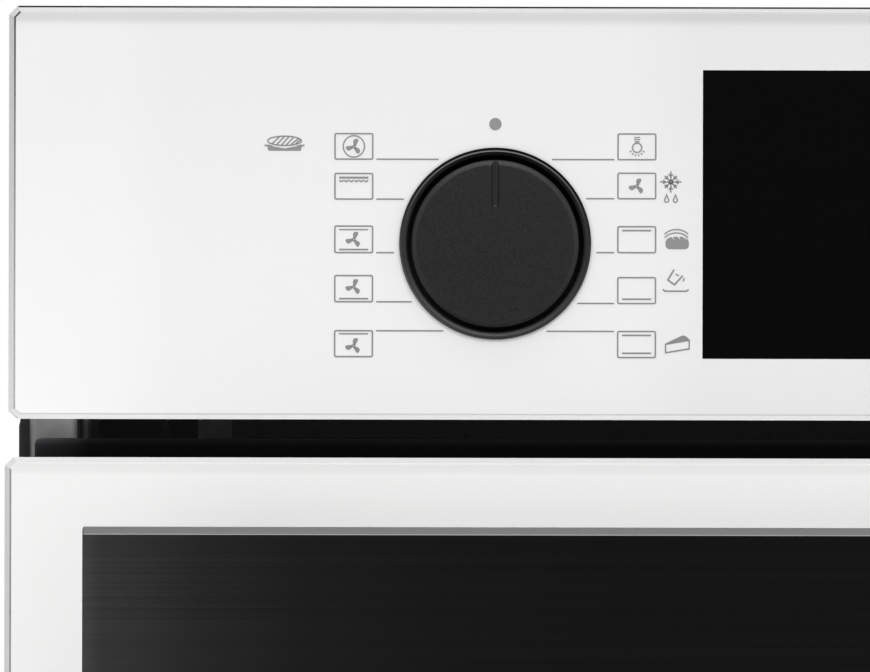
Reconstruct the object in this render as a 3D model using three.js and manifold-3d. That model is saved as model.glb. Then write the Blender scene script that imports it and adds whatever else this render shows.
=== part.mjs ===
// Built-in wall oven, 595 mm wide and high, with a drop-down door.
// Millimetres, +Z up, front facing -Y, x = 0 on the middle of the front.
// Depths are counted from the rear face of the mounting flange, which is y = 0 until the last step.
import * as THREE from 'three';
import { mergeVertices } from 'three/addons/utils/BufferGeometryUtils.js';
import Module from 'manifold-3d';

const wasm = await Module();
wasm.setup();

// Driving dimensions.
const WIDTH = 595;
const HEIGHT = 595;
const DOOR_TOP = 485.15;
const DOOR_BOTTOM = 6;
const DOOR_FACE = -26;
const GLASS = 4;
const PANEL_HALF = 296.5;
const PANEL_BOTTOM = 494.45;
const PANEL_FACE = -22;
const BEVEL = 1.3;
const CORNER = 2;
const CLEAR = 0.3;

const KNOB_X = 178.1;
const KNOB_Z = 537.3;
const KNOB_R = 20.4;
const BEZEL_R = 23.35;
const BEZEL_BORE = 21.4;
const BEZEL_WALL = 22;
const BEZEL_LIP = -22.7;

const DISPLAY_HALF = 127.9;
const DISPLAY_TOP = 579.9;
const DISPLAY_BOTTOM = 509.1;

const HANDLE_HALF = 277.5;
const HANDLE_TOP = 468.7;
const HANDLE_BOTTOM = 424.3;
const HANDLE_FACE = -66;
const HANDLE_THICK = 9;
const STANDOFF_X = 235;

const POST_INNER = 280.1;
const POST_OUTER = 291.8;
const POST_SHEET = 1.2;
const POST_FOOT = 34;
const POST_TOP = 590;
const WING_TOP = 566;
const WING_REAR = 44;
const POST_SCREW_X = 286.5;
const POST_SCREWS = [120, 470];
const TRIM_EDGE = 294.4;

const CAP_HALF = 290.05;
const CAP_TOP = 489.7;
const CAP_FOOT = 473.4;
const DOOR_REAR = 2.5;
const DOOR_INSIDE = -21.7;

const OUTLET_HALF = 276.6;
const OUTLET_LOW = 483;
const OUTLET_HIGH = 497;
const OUTLET_REAR = 30;

const BODY_HALF = 278;
const BODY_TOP = 571;
const BODY_FRONT = 16;
const BODY_REAR = 531;
const DEPTH_REAR = 546;
const SHEET = 1;

const CAVITY_HALF = 235;
const CAVITY_FLOOR = 85;
const CAVITY_ROOF = 435;
const CAVITY_REAR = 455;
const LINER = 1.2;
const LAMP = [-195, 375];
const FAN_Z = 260;
const BAFFLE_HALF = 160;
const BAFFLE_Z = [112, 405];
const BAFFLE_Y = [404, 454.6];
const ELEMENT_R = 3.2;
const RING_R = 98;

const PIVOT = [-8, 22];
const CRANK = 9;
const ARM_X = 258;
const LINK_X = 260.3;

const SHELF_LEVELS = [125, 185, 245, 305, 365];
const SHELF_Y = [50, 398];
const SHELF_LEVEL = SHELF_LEVELS[3];
const TRAY_LEVEL = SHELF_LEVELS[1];

const BLOWER = [60, 300];
const SHIFT_Y = -(HANDLE_FACE + DEPTH_REAR) / 2;

// Turns a three.js geometry into a closed solid that faces outwards.
function solid(geometry) {
  const bare = new THREE.BufferGeometry();
  bare.setAttribute('position', geometry.getAttribute('position'));
  if (geometry.index) bare.setIndex(geometry.index);
  const welded = mergeVertices(bare, 1e-4);
  const p = welded.attributes.position.array;
  const tri = [];
  let volume = 0;
  for (let i = 0; i < welded.index.count; i += 3) {
    const [a, b, c] = [0, 1, 2].map((k) => welded.index.array[i + k]);
    if (a === b || b === c || a === c) continue;
    tri.push([a, b, c]);
    const [A, B, C] = [a, b, c].map((k) => new THREE.Vector3(p[3 * k], p[3 * k + 1], p[3 * k + 2]));
    volume += A.dot(B.cross(C));
  }
  const faces = volume < 0 ? tri.map(([a, b, c]) => [a, c, b]) : tri;
  return new wasm.Manifold(new wasm.Mesh({
    numProp: 3,
    vertProperties: Float32Array.from(p),
    triVerts: Uint32Array.from(faces.flat()),
  }));
}

function block(x0, x1, y0, y1, z0, z1) {
  const g = new THREE.BoxGeometry(x1 - x0, y1 - y0, z1 - z0);
  g.translate((x0 + x1) / 2, (y0 + y1) / 2, (z0 + z1) / 2);
  return solid(g);
}

// Extrudes an outline from a to b. The outline is (y, z) for axis x, (x, z) for y and (x, y) for z.
function prism(axis, points, a, b) {
  const shape = new THREE.Shape(points.map(([u, v]) => new THREE.Vector2(u, v)));
  const g = new THREE.ExtrudeGeometry(shape, { depth: b - a, bevelEnabled: false });
  const m = new THREE.Matrix4();
  if (axis === 'x') m.set(0, 0, 1, a, 1, 0, 0, 0, 0, 1, 0, 0, 0, 0, 0, 1);
  if (axis === 'y') m.set(1, 0, 0, 0, 0, 0, -1, b, 0, 1, 0, 0, 0, 0, 0, 1);
  if (axis === 'z') m.set(1, 0, 0, 0, 0, 1, 0, 0, 0, 0, 1, a, 0, 0, 0, 1);
  g.applyMatrix4(m);
  return solid(g);
}

function ring(r, u, v, n, start = 0) {
  return Array.from({ length: n }, (_, i) => {
    const t = start + (i / n) * 2 * Math.PI;
    return [u + r * Math.cos(t), v + r * Math.sin(t)];
  });
}

function rod(axis, r, a, b, u, v, n = 20) {
  return prism(axis, ring(r, u, v, n), a, b);
}

// A rectangle outline with each corner cut by an arc of radius r.
function rounded(u0, u1, v0, v1, r, n = 3) {
  const out = [];
  const corners = [[u1 - r, v1 - r, 0], [u0 + r, v1 - r, 1], [u0 + r, v0 + r, 2], [u1 - r, v0 + r, 3]];
  for (const [u, v, q] of corners) {
    for (let i = 0; i <= n; i += 1) {
      const t = (q + i / n) * (Math.PI / 2);
      out.push([u + r * Math.cos(t), v + r * Math.sin(t)]);
    }
  }
  return out;
}

// Revolves a profile of [radius, height] round the y axis, or the z axis when upright.
function turned(profile, u, v, n, upright = false) {
  const g = new THREE.LatheGeometry(profile.map(([r, h]) => new THREE.Vector2(r, h)), n);
  if (upright) g.rotateX(Math.PI / 2);
  g.translate(u, upright ? v : 0, upright ? 0 : v);
  return solid(g);
}

// Sweeps a round bar through the given points.
function bar(points, r, steps, n = 6) {
  const path = new THREE.CatmullRomCurve3(points.map((q) => new THREE.Vector3(...q)), false, 'centripetal');
  const shape = new THREE.Shape(ring(r, 0, 0, n).map(([u, v]) => new THREE.Vector2(u, v)));
  return solid(new THREE.ExtrudeGeometry(shape, { steps, extrudePath: path, bevelEnabled: false }));
}

const joined = (list) => list.reduce((sum, part) => sum.add(part));
const less = (base, cuts) => cuts.reduce((left, cut) => left.subtract(cut), base);

const group = new THREE.Group();
group.name = 'wall_oven';

const PAINTS = {
  whiteGlass: ['#eef0f1', 0.08, 0],
  clearGlass: ['#8fa19c', 0.06, 0],
  blackGlass: ['#0b0b0d', 0.06, 0],
  darkMetal: ['#2c2c2d', 0.4, 0.8],
  blackPaint: ['#161617', 0.5, 0.2],
  blackPlastic: ['#131313', 0.55, 0],
  greyPlastic: ['#55585a', 0.6, 0],
  zinc: ['#a9adaf', 0.42, 0.85],
  steel: ['#c2c4c5', 0.3, 0.95],
  chrome: ['#d7d9da', 0.16, 1],
  enamel: ['#2a2b33', 0.22, 0.1],
  rubber: ['#191919', 0.85, 0],
  wool: ['#b9a574', 0.95, 0],
  board: ['#1f5b34', 0.5, 0],
  aluminium: ['#b4b7b9', 0.38, 0.9],
};

function node(name, shape, paint) {
  const mesh = shape.translate([0, SHIFT_Y, 0]).getMesh();
  const g = new THREE.BufferGeometry();
  g.setAttribute('position', new THREE.BufferAttribute(Float32Array.from(mesh.vertProperties), 3));
  g.setIndex(new THREE.BufferAttribute(Uint32Array.from(mesh.triVerts), 1));
  g.computeVertexNormals();
  const [color, roughness, metalness] = PAINTS[paint];
  const item = new THREE.Mesh(g, new THREE.MeshStandardMaterial({ color, roughness, metalness }));
  item.name = name;
  group.add(item);
}

const mirrorX = (shape) => shape.mirror([1, 0, 0]);

// Adds a right-hand part and its mirror image.
function pair(name, shape, paint) {
  node(`${name}_right`, shape, paint);
  node(`${name}_left`, mirrorX(shape), paint);
}

// A glass pane with ground front edges and clipped corners.
function pane(half, z0, z1, face, thick) {
  const clipped = (h, a, b, c) => [[h - c, a], [h, a + c], [h, b - c], [h - c, b],
    [-h + c, b], [-h, b - c], [-h, a + c], [-h + c, a]];
  const outer = clipped(half, z0, z1, CORNER);
  const inner = clipped(half - BEVEL, z0 + BEVEL, z1 - BEVEL, CORNER - BEVEL * 0.45);
  const rows = [[inner, face], [outer, face + BEVEL * 0.8], [outer, face + thick]];
  const verts = rows.flatMap(([line, y]) => line.map(([x, z]) => [x, y, z]));
  const n = outer.length;
  const tri = [];
  for (let row = 0; row < 2; row += 1) {
    for (let i = 0; i < n; i += 1) {
      const [a, b] = [row * n + i, row * n + ((i + 1) % n)];
      tri.push(a, b, b + n, a, b + n, a + n);
    }
  }
  for (let i = 1; i < n - 1; i += 1) tri.push(0, i + 1, i, 2 * n, 2 * n + i, 2 * n + i + 1);
  const g = new THREE.BufferGeometry();
  g.setAttribute('position', new THREE.Float32BufferAttribute(verts.flat(), 3));
  g.setIndex(tri);
  return solid(g);
}

// Front panel.
function controlPanel() {
  const window = block(-DISPLAY_HALF, DISPLAY_HALF, -30, -10, DISPLAY_BOTTOM, DISPLAY_TOP);
  const holes = [-KNOB_X, KNOB_X].map((x) => rod('y', 22.2, -30, -10, x, KNOB_Z, 32));
  node('control_glass', less(pane(PANEL_HALF, PANEL_BOTTOM, HEIGHT, PANEL_FACE, GLASS), [window, ...holes]),
    'whiteGlass');
  const lens = block(-DISPLAY_HALF + CLEAR, DISPLAY_HALF - CLEAR, PANEL_FACE, PANEL_FACE + GLASS,
    DISPLAY_BOTTOM + CLEAR, DISPLAY_TOP - CLEAR);
  node('display_lens', lens, 'blackGlass');

  const tray = block(-289, 289, -17.7, -1.5, 500, 590);
  const pocket = block(-287, 287, -15.7, 0, 502, 588);
  const ribs = [-240, -150, 150, 240].map((x) => block(x - 1, x + 1, -16, -3, 501, 589));
  const opening = block(-132, 132, -20, -10, 506, 583);
  const cups = [-KNOB_X, KNOB_X].map((x) => rod('y', 24, -20, 5, x, KNOB_Z, 20));
  node('fascia_carrier', less(joined([less(tray, [pocket]), ...ribs]), [opening, ...cups]), 'greyPlastic');

  const pcb = block(-126, 126, -14, -12.4, 511, 578);
  const screen = block(-70, 70, -17, -13.9, 520, 570);
  const chips = [[-104, 530, 14, 10], [-104, 556, 10, 8], [95, 545, 16, 16]].map(([x, z, w, h]) =>
    block(x - w / 2, x + w / 2, -12.5, -9.5, z - h / 2, z + h / 2));
  const keys = [-110, 110].map((x) => block(x - 5, x + 5, -16.5, -13.9, 514, 522));
  const sockets = [-60, 0, 60].map((x) => block(x - 9, x + 9, -12.5, -4, 513, 519));
  node('display_board', joined([pcb, screen, ...chips, ...keys, ...sockets]), 'board');
}

// One push-pull control: ring with its cup, switch, spindle and knob.
function control(name, x) {
  const seat = PANEL_FACE - CLEAR;
  const ringProfile = [[BEZEL_BORE, BEZEL_LIP + 0.85], [BEZEL_R - 0.7, BEZEL_LIP], [BEZEL_R, BEZEL_LIP + 0.2],
    [BEZEL_R, seat], [BEZEL_WALL, seat], [BEZEL_WALL, 2], [7.5, 2], [7.5, 0.5], [BEZEL_BORE, 0.5],
    [BEZEL_BORE, BEZEL_LIP + 0.85]];
  node(`${name}_bezel`, turned(ringProfile, x, KNOB_Z, 32), 'darkMetal');

  const flatted = (r, cut) => ring(r, 0, 0, 14).map(([u, v]) => [x + Math.min(u, cut), KNOB_Z + v]);
  const base = block(x - 19, x + 19, 9, 10.5, KNOB_Z - 19, KNOB_Z + 19);
  const can = rod('y', 16, 10.4, 30, x, KNOB_Z, 16);
  const tabs = [0, 1, 2, 3].map((k) => x - 11 + 6 * k).map((left) =>
    block(left, left + 3, 29.9, 37, KNOB_Z - 3, KNOB_Z - 2));
  const posts = [-1, 1].map((s) => rod('y', 2, 2.3, 9.1, x + s * 14, KNOB_Z, 10));
  const bore = rod('y', 3.45, 8, 22, x, KNOB_Z, 14);
  node(`${name}_switch`, less(joined([base, can, ...tabs, ...posts]), [bore]), 'blackPlastic');

  const shaft = prism('y', flatted(3, 2), -18, 14);
  const collar = rod('y', 5, 5.2, 8.2, x, KNOB_Z, 16);
  const pin = rod('y', 3, 13, 20, x, KNOB_Z, 14);
  node(`${name}_spindle`, joined([shaft, collar, pin]), 'zinc');

  const r = KNOB_R;
  const skin = [[0, -24.9], [r - 1.2, -24.9], [r, -23.8], [r, -3], [r - 1.8, -3], [r - 1.8, -21.5],
    [6, -21.5], [6, 3], [0, 3]];
  const mark = block(x - 0.9, x + 0.9, -26, -24.4, KNOB_Z + 9, KNOB_Z + 25);
  const socket = prism('y', flatted(3.35, 2.35), -20, 4);
  const grips = [0, 1, 2].map((k) => {
    const t = (k * 2 * Math.PI) / 3 + Math.PI / 2;
    const [u, v] = [x + 12 * Math.cos(t), KNOB_Z + 12 * Math.sin(t)];
    return rod('y', 1.6, -21.6, -5, u, v, 8);
  });
  node(`${name}_knob`, less(joined([turned(skin, x, KNOB_Z, 32), ...grips]), [mark, socket]), 'darkMetal');
}

// Mounting posts, bent from sheet, and the trims on their outer edges.
function posts() {
  const [inner, outer, t] = [POST_INNER, POST_OUTER, POST_SHEET];
  const bend = [0, 1, 2, 3].map((k) => (k * Math.PI) / 6);
  const outside = bend.map((q) => [inner + 1.5 - 1.5 * Math.sin(q), 0.3 - 1.5 * Math.cos(q)]);
  const inside = bend.map((q) => [inner + 1.5 - 0.3 * Math.sin(q), 0.3 - 0.3 * Math.cos(q)]);
  const section = [[outer, -t], ...outside, [inner, WING_REAR], [inner + t, WING_REAR], ...inside.reverse(),
    [outer, 0]];
  const notch = block(inner - 1, inner + t + 0.6, 0.8, WING_REAR + 1, WING_TOP, POST_TOP + 1);
  const holes = POST_SCREWS.map((z) => rod('y', 2.4, -3, 3, POST_SCREW_X, z, 12));
  const slots = [200, 400].map((z) => block(inner - 1, inner + 3, 16, 32, z - 8, z + 8));
  pair('front_post', less(prism('z', section, POST_FOOT, POST_TOP), [notch, ...holes, ...slots]), 'zinc');

  const [edge, root] = [TRIM_EDGE, outer + CLEAR];
  const lip = [[root, -2.2], [edge - 0.5, -2.2], [edge, -1.7], [edge, -0.6], [edge - 0.5, -0.1],
    [root, -0.1]];
  pair('side_trim', prism('z', lip, POST_FOOT, POST_TOP), 'rubber');
}

// Black grille that the cooling air leaves by, between the panel and the door. Its ends are closed
// where the duct behind it is narrower, and an ear on each side reaches out towards the post.
function airOutlet() {
  const [half, low, high] = [OUTLET_HALF, OUTLET_LOW, OUTLET_HIGH];
  const wall = 1.6;
  const shell = less(block(-half, half, -0.6, OUTLET_REAR, low, high),
    [block(-half + wall, half - wall, -3, OUTLET_REAR + 10, low + wall, high - wall)]);
  const shutters = [-1, 1].map((s) => s * 263.5).map((x) =>
    block(x - 12.5, x + 12.5, OUTLET_REAR - 4, OUTLET_REAR - 2, low + 1, high - 1));
  const reach = (POST_INNER - CLEAR - half) / 2 + 0.2;
  const ears = [-1, 1].map((s) => s * (half - 0.4 + reach)).map((x) =>
    block(x - reach, x + reach, BODY_FRONT - 4, BODY_FRONT - 2, low + 1, high - 1));
  const vanes = Array.from({ length: 15 }, (_, i) => -259 + i * 37);
  const upright = vanes.map((x) => block(x - 0.8, x + 0.8, 3, OUTLET_REAR - 2, low + 1, high - 1));
  node('air_outlet', joined([shell, ...shutters, ...ears, ...upright]), 'blackPlastic');
}

// Outer sheet housing.
function housing() {
  const h = BODY_HALF;
  const inner = h - SHEET - CLEAR;
  const side = block(h - SHEET, h, BODY_FRONT, BODY_REAR - 1.6, SHEET + CLEAR, BODY_TOP - SHEET - CLEAR);
  const slotsFrom = (start, count) => Array.from({ length: count }, (_, i) => start + 22 * i);
  const vents = slotsFrom(300, 9).map((y) => block(h - 5, h + 5, y, y + 6, 486, 530));
  const low = slotsFrom(360, 5).map((y) => block(h - 5, h + 5, y, y + 6, 26, 50));
  pair('side_panel', less(side, [...vents, ...low]), 'zinc');

  const roof = block(-h, h, BODY_FRONT, BODY_REAR - 1.6, BODY_TOP - SHEET, BODY_TOP);
  const roofEdges = [-1, 1].map((s) => block(s > 0 ? inner - 1 : -inner, s > 0 ? inner : -inner + 1, 46,
    BODY_REAR - 1.6, BODY_TOP - 14, BODY_TOP - 0.5));
  const roofVents = slotsFrom(180, 11).map((y) => block(-110, 110, y, y + 6, BODY_TOP - 5, BODY_TOP + 5));
  node('top_panel', less(joined([roof, ...roofEdges]), roofVents), 'zinc');

  const floor = block(-h, h, BODY_FRONT, BODY_REAR - 1.6, 0, SHEET);
  const floorEdges = [-1, 1].map((s) => block(s > 0 ? inner - 1 : -inner, s > 0 ? inner : -inner + 1, 46,
    BODY_REAR - 1.6, 0.5, 16));
  node('base_panel', joined([floor, ...floorEdges]), 'zinc');

  const back = block(-h, h, BODY_REAR - 1, BODY_REAR, 0, BODY_TOP);
  const backVents = [-200, -160, -120, 120].flatMap((x) => [150, 220, 290].map((z) =>
    block(x - 12, x + 12, 525, 540, z - 4, z + 4)));
  const wires = rod('y', 16, 520, 540, 190, 520, 20);
  node('rear_panel', less(back, [...backVents, wires]), 'zinc');

  const box = less(block(150, 230, BODY_REAR + CLEAR, DEPTH_REAR, 485, 560), [
    block(152, 228, BODY_REAR, DEPTH_REAR - 2, 487, 558), rod('z', 5.2, 470, 500, 190, 538.6, 16)]);
  const ribsOut = [170, 190, 210].map((x) =>
    block(x - 1, x + 1, DEPTH_REAR - 3.5, DEPTH_REAR - 1.9, 500, 545));
  node('terminal_box', joined([box, ...ribsOut]), 'blackPlastic');
  const gland = [[3.2, 462], [5, 462], [6.4, 465], [6.4, 477], [7, 478], [7, 484.7], [4.9, 484.7], [4.9, 492],
    [3.2, 492], [3.2, 462]];
  node('cable_gland', turned(gland, 190, 538.6, 12, true), 'blackPlastic');
}

// Enamelled cavity with its front frame, and the blanket round it.
function cavity() {
  const h = CAVITY_HALF;
  const skin = h + LINER;
  const tub = prism('y', rounded(-skin, skin, CAVITY_FLOOR - LINER, CAVITY_ROOF + LINER, 12 + LINER), 14,
    CAVITY_REAR + LINER);
  const frame = block(-277, 277, 14, 15.5, 8, 481);
  const hollow = prism('y', rounded(-h, h, CAVITY_FLOOR, CAVITY_ROOF, 12), 0, CAVITY_REAR);
  const hinge = [-1, 1].map((s) => s * (ARM_X + 3.5)).map((x) => block(x - 7.3, x + 7.3, 5, 30, 11.4, 40.6));
  const holes = [rod('y', 7, 440, 470, 0, FAN_Z, 20), rod('y', 20.3, 440, 470, LAMP[0], LAMP[1], 16)];
  const grill = [-26, 26].map((x) => rod('y', 4.2, 440, 470, x, 418, 12));
  const turbo = [-12, 12].map((x) => rod('y', 4, 440, 470, x, FAN_Z + 99, 12));
  const cuts = [hollow, ...hinge, ...holes, ...grill, ...turbo];
  node('cavity_liner', less(joined([tub, frame]), cuts), 'enamel');

  const wrap = block(-254, 254, 16, 478, 62, 458);
  const room = block(-h - 1.6, h + 1.6, 10, CAVITY_REAR + 1.6, 70, CAVITY_ROOF + 1.6);
  const passes = [rod('y', 9, 440, 490, 0, FAN_Z, 16), rod('y', 24, 440, 490, LAMP[0], LAMP[1], 12),
    block(-34, 34, 440, 490, 410, 426), block(-20, 20, 440, 490, FAN_Z + 92, FAN_Z + 106),
    block(-34, 34, 440, 490, 70, 82)];
  node('insulation_blanket', less(wrap, [room, ...passes]), 'wool');

  const seal = less(prism('y', rounded(-244, 244, 76, 444, 20), 7.3, 13.7),
    [prism('y', rounded(-238, 238, 82, 438, 15), 0, 20)]);
  node('door_gasket', seal, 'rubber');
}

// Heating, hot-air fan and light.
function insides() {
  const z = 418;
  const snake = [[-26, 505, z], [-26, 440, z], [-26, 425, z], [-60, 405, z], [-170, 405, z], [-205, 380, z],
    [-205, 90, z], [-185, 65, z], [-150, 65, z], [-130, 90, z], [-130, 340, z], [-105, 365, z], [-75, 365, z],
    [-55, 340, z], [-55, 90, z], [-35, 65, z], [35, 65, z], [55, 90, z], [55, 340, z], [75, 365, z],
    [105, 365, z], [130, 340, z], [130, 90, z], [150, 65, z], [185, 65, z], [205, 90, z], [205, 380, z],
    [170, 405, z], [60, 405, z], [26, 425, z], [26, 440, z], [26, 505, z]];
  node('grill_element', bar(snake, ELEMENT_R, 64), 'darkMetal');

  const b = 76;
  const low = [[-20, 505, b], [-20, 400, b], [-40, 370, b], [-150, 370, b], [-190, 340, b], [-190, 110, b],
    [-150, 80, b], [150, 80, b], [190, 110, b], [190, 340, b], [150, 370, b], [40, 370, b], [20, 400, b],
    [20, 505, b]];
  node('bottom_element', bar(low, ELEMENT_R, 36), 'darkMetal');

  const loop = [[-12, 505, FAN_Z + 99], [-12, 450, FAN_Z + 99], [-15, 432, FAN_Z + 98]];
  for (let i = 0; i <= 12; i += 1) {
    const t = Math.PI / 2 + 0.3 + (i / 12) * (2 * Math.PI - 0.6);
    loop.push([RING_R * Math.cos(t), 426, FAN_Z + RING_R * Math.sin(t)]);
  }
  loop.push([15, 432, FAN_Z + 98], [12, 450, FAN_Z + 99], [12, 505, FAN_Z + 99]);
  node('ring_element', bar(loop, 3, 36), 'darkMetal');

  const [wide, t] = [BAFFLE_HALF, LINER];
  const [front, rear] = BAFFLE_Y;
  const [foot, head] = BAFFLE_Z;
  const shell = less(block(-wide, wide, front, rear, foot, head),
    [block(-wide + t, wide - t, front + t, rear + 5, foot + t, head - t)]);
  const intake = Array.from({ length: 8 }, (_, i) => {
    const q = (i / 8) * 2 * Math.PI;
    return rod('y', 13, front - 4, front + 6, 42 * Math.cos(q), FAN_Z + 42 * Math.sin(q), 12);
  });
  const middle = rod('y', 13, front - 4, front + 6, 0, FAN_Z, 12);
  const outs = [150, 205, 315, 370].flatMap((q) => [-wide, wide].map((x) =>
    block(x - 10, x + 10, 418, 446, q - 9, q + 9)));
  node('convection_baffle', less(shell, [middle, ...intake, ...outs]), 'enamel');

  const hub = rod('y', 11, 414, 442, 0, FAN_Z, 16);
  const plate = rod('y', 74, 439, 440.4, 0, FAN_Z, 32);
  const shaft = rod('y', 4, 441, 500, 0, FAN_Z, 12);
  const blades = Array.from({ length: 12 }, (_, i) =>
    block(10, 70, 416, 439.5, -0.7, 0.7).rotate([0, i * 30, 0]).translate([0, 0, FAN_Z]));
  node('convection_fan', joined([hub, plate, shaft, ...blades]), 'steel');

  const can = rod('y', 33, 484, 518, 0, FAN_Z, 24);
  const bridge = block(-62, 62, 479, 481.5, FAN_Z - 14, FAN_Z + 14);
  const stubs = [-50, 50].map((x) => block(x - 5, x + 5, 481, 490, FAN_Z - 14, FAN_Z + 14));
  const strap = block(-55, 55, 488, 491, FAN_Z - 14, FAN_Z + 14);
  const bore = rod('y', 4.5, 470, 505, 0, FAN_Z, 14);
  node('convection_motor', less(joined([can, bridge, ...stubs, strap]), [bore]), 'zinc');

  const [lx, lz] = LAMP;
  const dome = [[0, 440], [9, 441.5], [15, 445.5], [18, 450], [21.5, 451], [21.5, 454.6], [17, 454.6],
    [15.5, 450], [12, 446.5], [7, 444], [0, 443]];
  node('lamp_lens', turned(dome, lx, lz, 16), 'clearGlass');
  const cup = [[19.6, 455], [19.6, 500], [9, 500], [9, 516], [0, 516], [0, 490], [5, 490], [5, 495],
    [17.6, 495], [17.6, 455], [19.6, 455]];
  node('lamp_housing', turned(cup, lx, lz, 16), 'steel');
}

// Ladders, shelf and tray.
function shelving() {
  const rails = SHELF_LEVELS.flatMap((z) => [z, z + 17].map((q) => rod('y', 2.5, 30, 400, 224.4, q, 6)));
  const uprights = [60, 370].map((y) => rod('z', 2.5, 108, 396, 229, y, 8));
  const studs = [60, 370].flatMap((y) => [112, 392].map((z) => rod('x', 3.5, 228, 234.6, y, z, 8)));
  pair('ladder_rack', joined([...rails, ...uprights, ...studs]), 'chrome');

  const z = SHELF_LEVEL + 2.5 + CLEAR + 3;
  const [y0, y1] = SHELF_Y;
  const sides = [-222, 222].map((x) => rod('y', 3, y0 - 3, y1 + 3, x, z, 8));
  const ends = [y0, y1].map((y) => rod('x', 3, -222, 222, y, z, 8));
  const stays = [-110, 110].map((x) => rod('y', 2.4, y0, y1, x, z - 3.6, 6));
  const wires = Array.from({ length: 11 }, (_, i) => rod('x', 1.7, -222, 222, y0 + 29 + i * 29, z, 5));
  node('wire_shelf', joined([...sides, ...ends, ...stays, ...wires]), 'chrome');

  const rim = TRAY_LEVEL + 2.5 + CLEAR;
  const outline = (g, a, b) => rounded(-218 + g, 218 - g, a + 4 + g, b - 4 - g, 14 - g, 3);
  const lip = prism('z', rounded(-225.6, 225.6, y0, y1, 10, 3), rim, rim + 1.4);
  const pan = prism('z', outline(0, y0, y1), rim - 30, rim + 1);
  const well = prism('z', outline(1.4, y0, y1), rim - 28.6, rim + 5);
  node('baking_tray', less(joined([lip, pan]), [well]), 'enamel');
}

// Cooling air: scroll with its duct, motor and wheel.
function cooling() {
  const [cx, cy] = BLOWER;
  const spiral = (grow) => Array.from({ length: 21 }, (_, i) => {
    const t = -Math.PI / 2 + (i / 20) * 2 * Math.PI;
    const r = 50 + grow + 22 * (i / 20);
    return [cx + r * Math.cos(t), cy + r * Math.sin(t)];
  });
  const duct = (g) => [[-250 + g, 30.4 - (g ? 5 : 0)], [250 - g, 30.4 - (g ? 5 : 0)], [cx + 40 - g, cy - 40],
    [cx - 60 + g, cy - 40]];
  const outer = joined([prism('z', spiral(2), 478, 512), prism('z', duct(0), 482, 498)]);
  const hollow = joined([prism('z', spiral(0), 480, 510), prism('z', duct(2), 484, 496)]);
  const eye = rod('z', 36, 470, 485, cx, cy, 24);
  const neck = rod('z', 9, 505, 515, cx, cy, 16);
  node('cooling_fan_scroll', less(outer, [hollow, eye, neck]), 'zinc');

  const can = rod('z', 27, 516, 550, cx, cy, 24);
  const feet = [-1, 1].map((s) => block(cx + s * 32 - 8, cx + s * 32 + 8, cy - 8, cy + 8, 512.3, 530));
  const bore = rod('z', 3.4, 510, 538, cx, cy, 14);
  node('cooling_fan_motor', less(joined([can, ...feet]), [bore]), 'zinc');

  const shaft = rod('z', 3, 484, 535, cx, cy, 12);
  const hub = rod('z', 9, 484, 506, cx, cy, 14);
  const plate = rod('z', 44, 504, 506, cx, cy, 28);
  const blades = Array.from({ length: 14 }, (_, i) =>
    block(34, 43, -0.6, 0.6, 484, 504.5).rotate([0, 0, (i * 360) / 14]).translate([cx, cy, 0]));
  node('cooling_fan_impeller', joined([shaft, hub, plate, ...blades]), 'blackPlastic');
}

// Fixed half of each hinge, the sliding yoke and its damper.
function hinges() {
  const [py, pz] = PIVOT;
  const nose = (x) => joined([rod('x', 9, x, x + 2, py, pz, 20), block(x, x + 2, py, 16, pz - 9, pz + 9),
    block(x, x + 2, 10, 90, 12, 40)]);
  const floor = block(255.6, 264.8, 16, 90, 12, 13.6);
  const bed = block(250, 270, 16.2, 182, 12, 13.4);
  const pin = rod('x', 4, 255.6, 264.8, py, pz, 20);
  pair('hinge_channel', joined([nose(255.6), nose(262.8), floor, bed, pin]), 'zinc');

  const yoke = CRANK * Math.SQRT1_2;
  const slot = py + yoke;
  const bar1 = block(LINK_X, LINK_X + 1.9, slot - 5.2, 80, 34.2, 38.6);
  const prongs = [-5.2, 2.6].map((d) => block(LINK_X, LINK_X + 1.9, slot + d, slot + d + 2.6, 26.7, 34.4));
  const tail = block(258.2, LINK_X + 1.9, 76, 80, 24, 38.6);
  const push = rod('y', 1.7, 79.5, 140, 260.2, 27, 12);
  pair('hinge_link', joined([bar1, ...prongs, tail, push]), 'steel');

  const tube = rod('y', 7, 98, 176, 260.2, 27, 20);
  const feet = [108, 160].map((y) => block(254, 266.4, y, y + 8, 13.7, 24));
  const bore = rod('y', 2.1, 95, 170, 260.2, 27, 12);
  pair('hinge_damper', less(joined([tube, ...feet]), [bore]), 'blackPaint');
}

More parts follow.
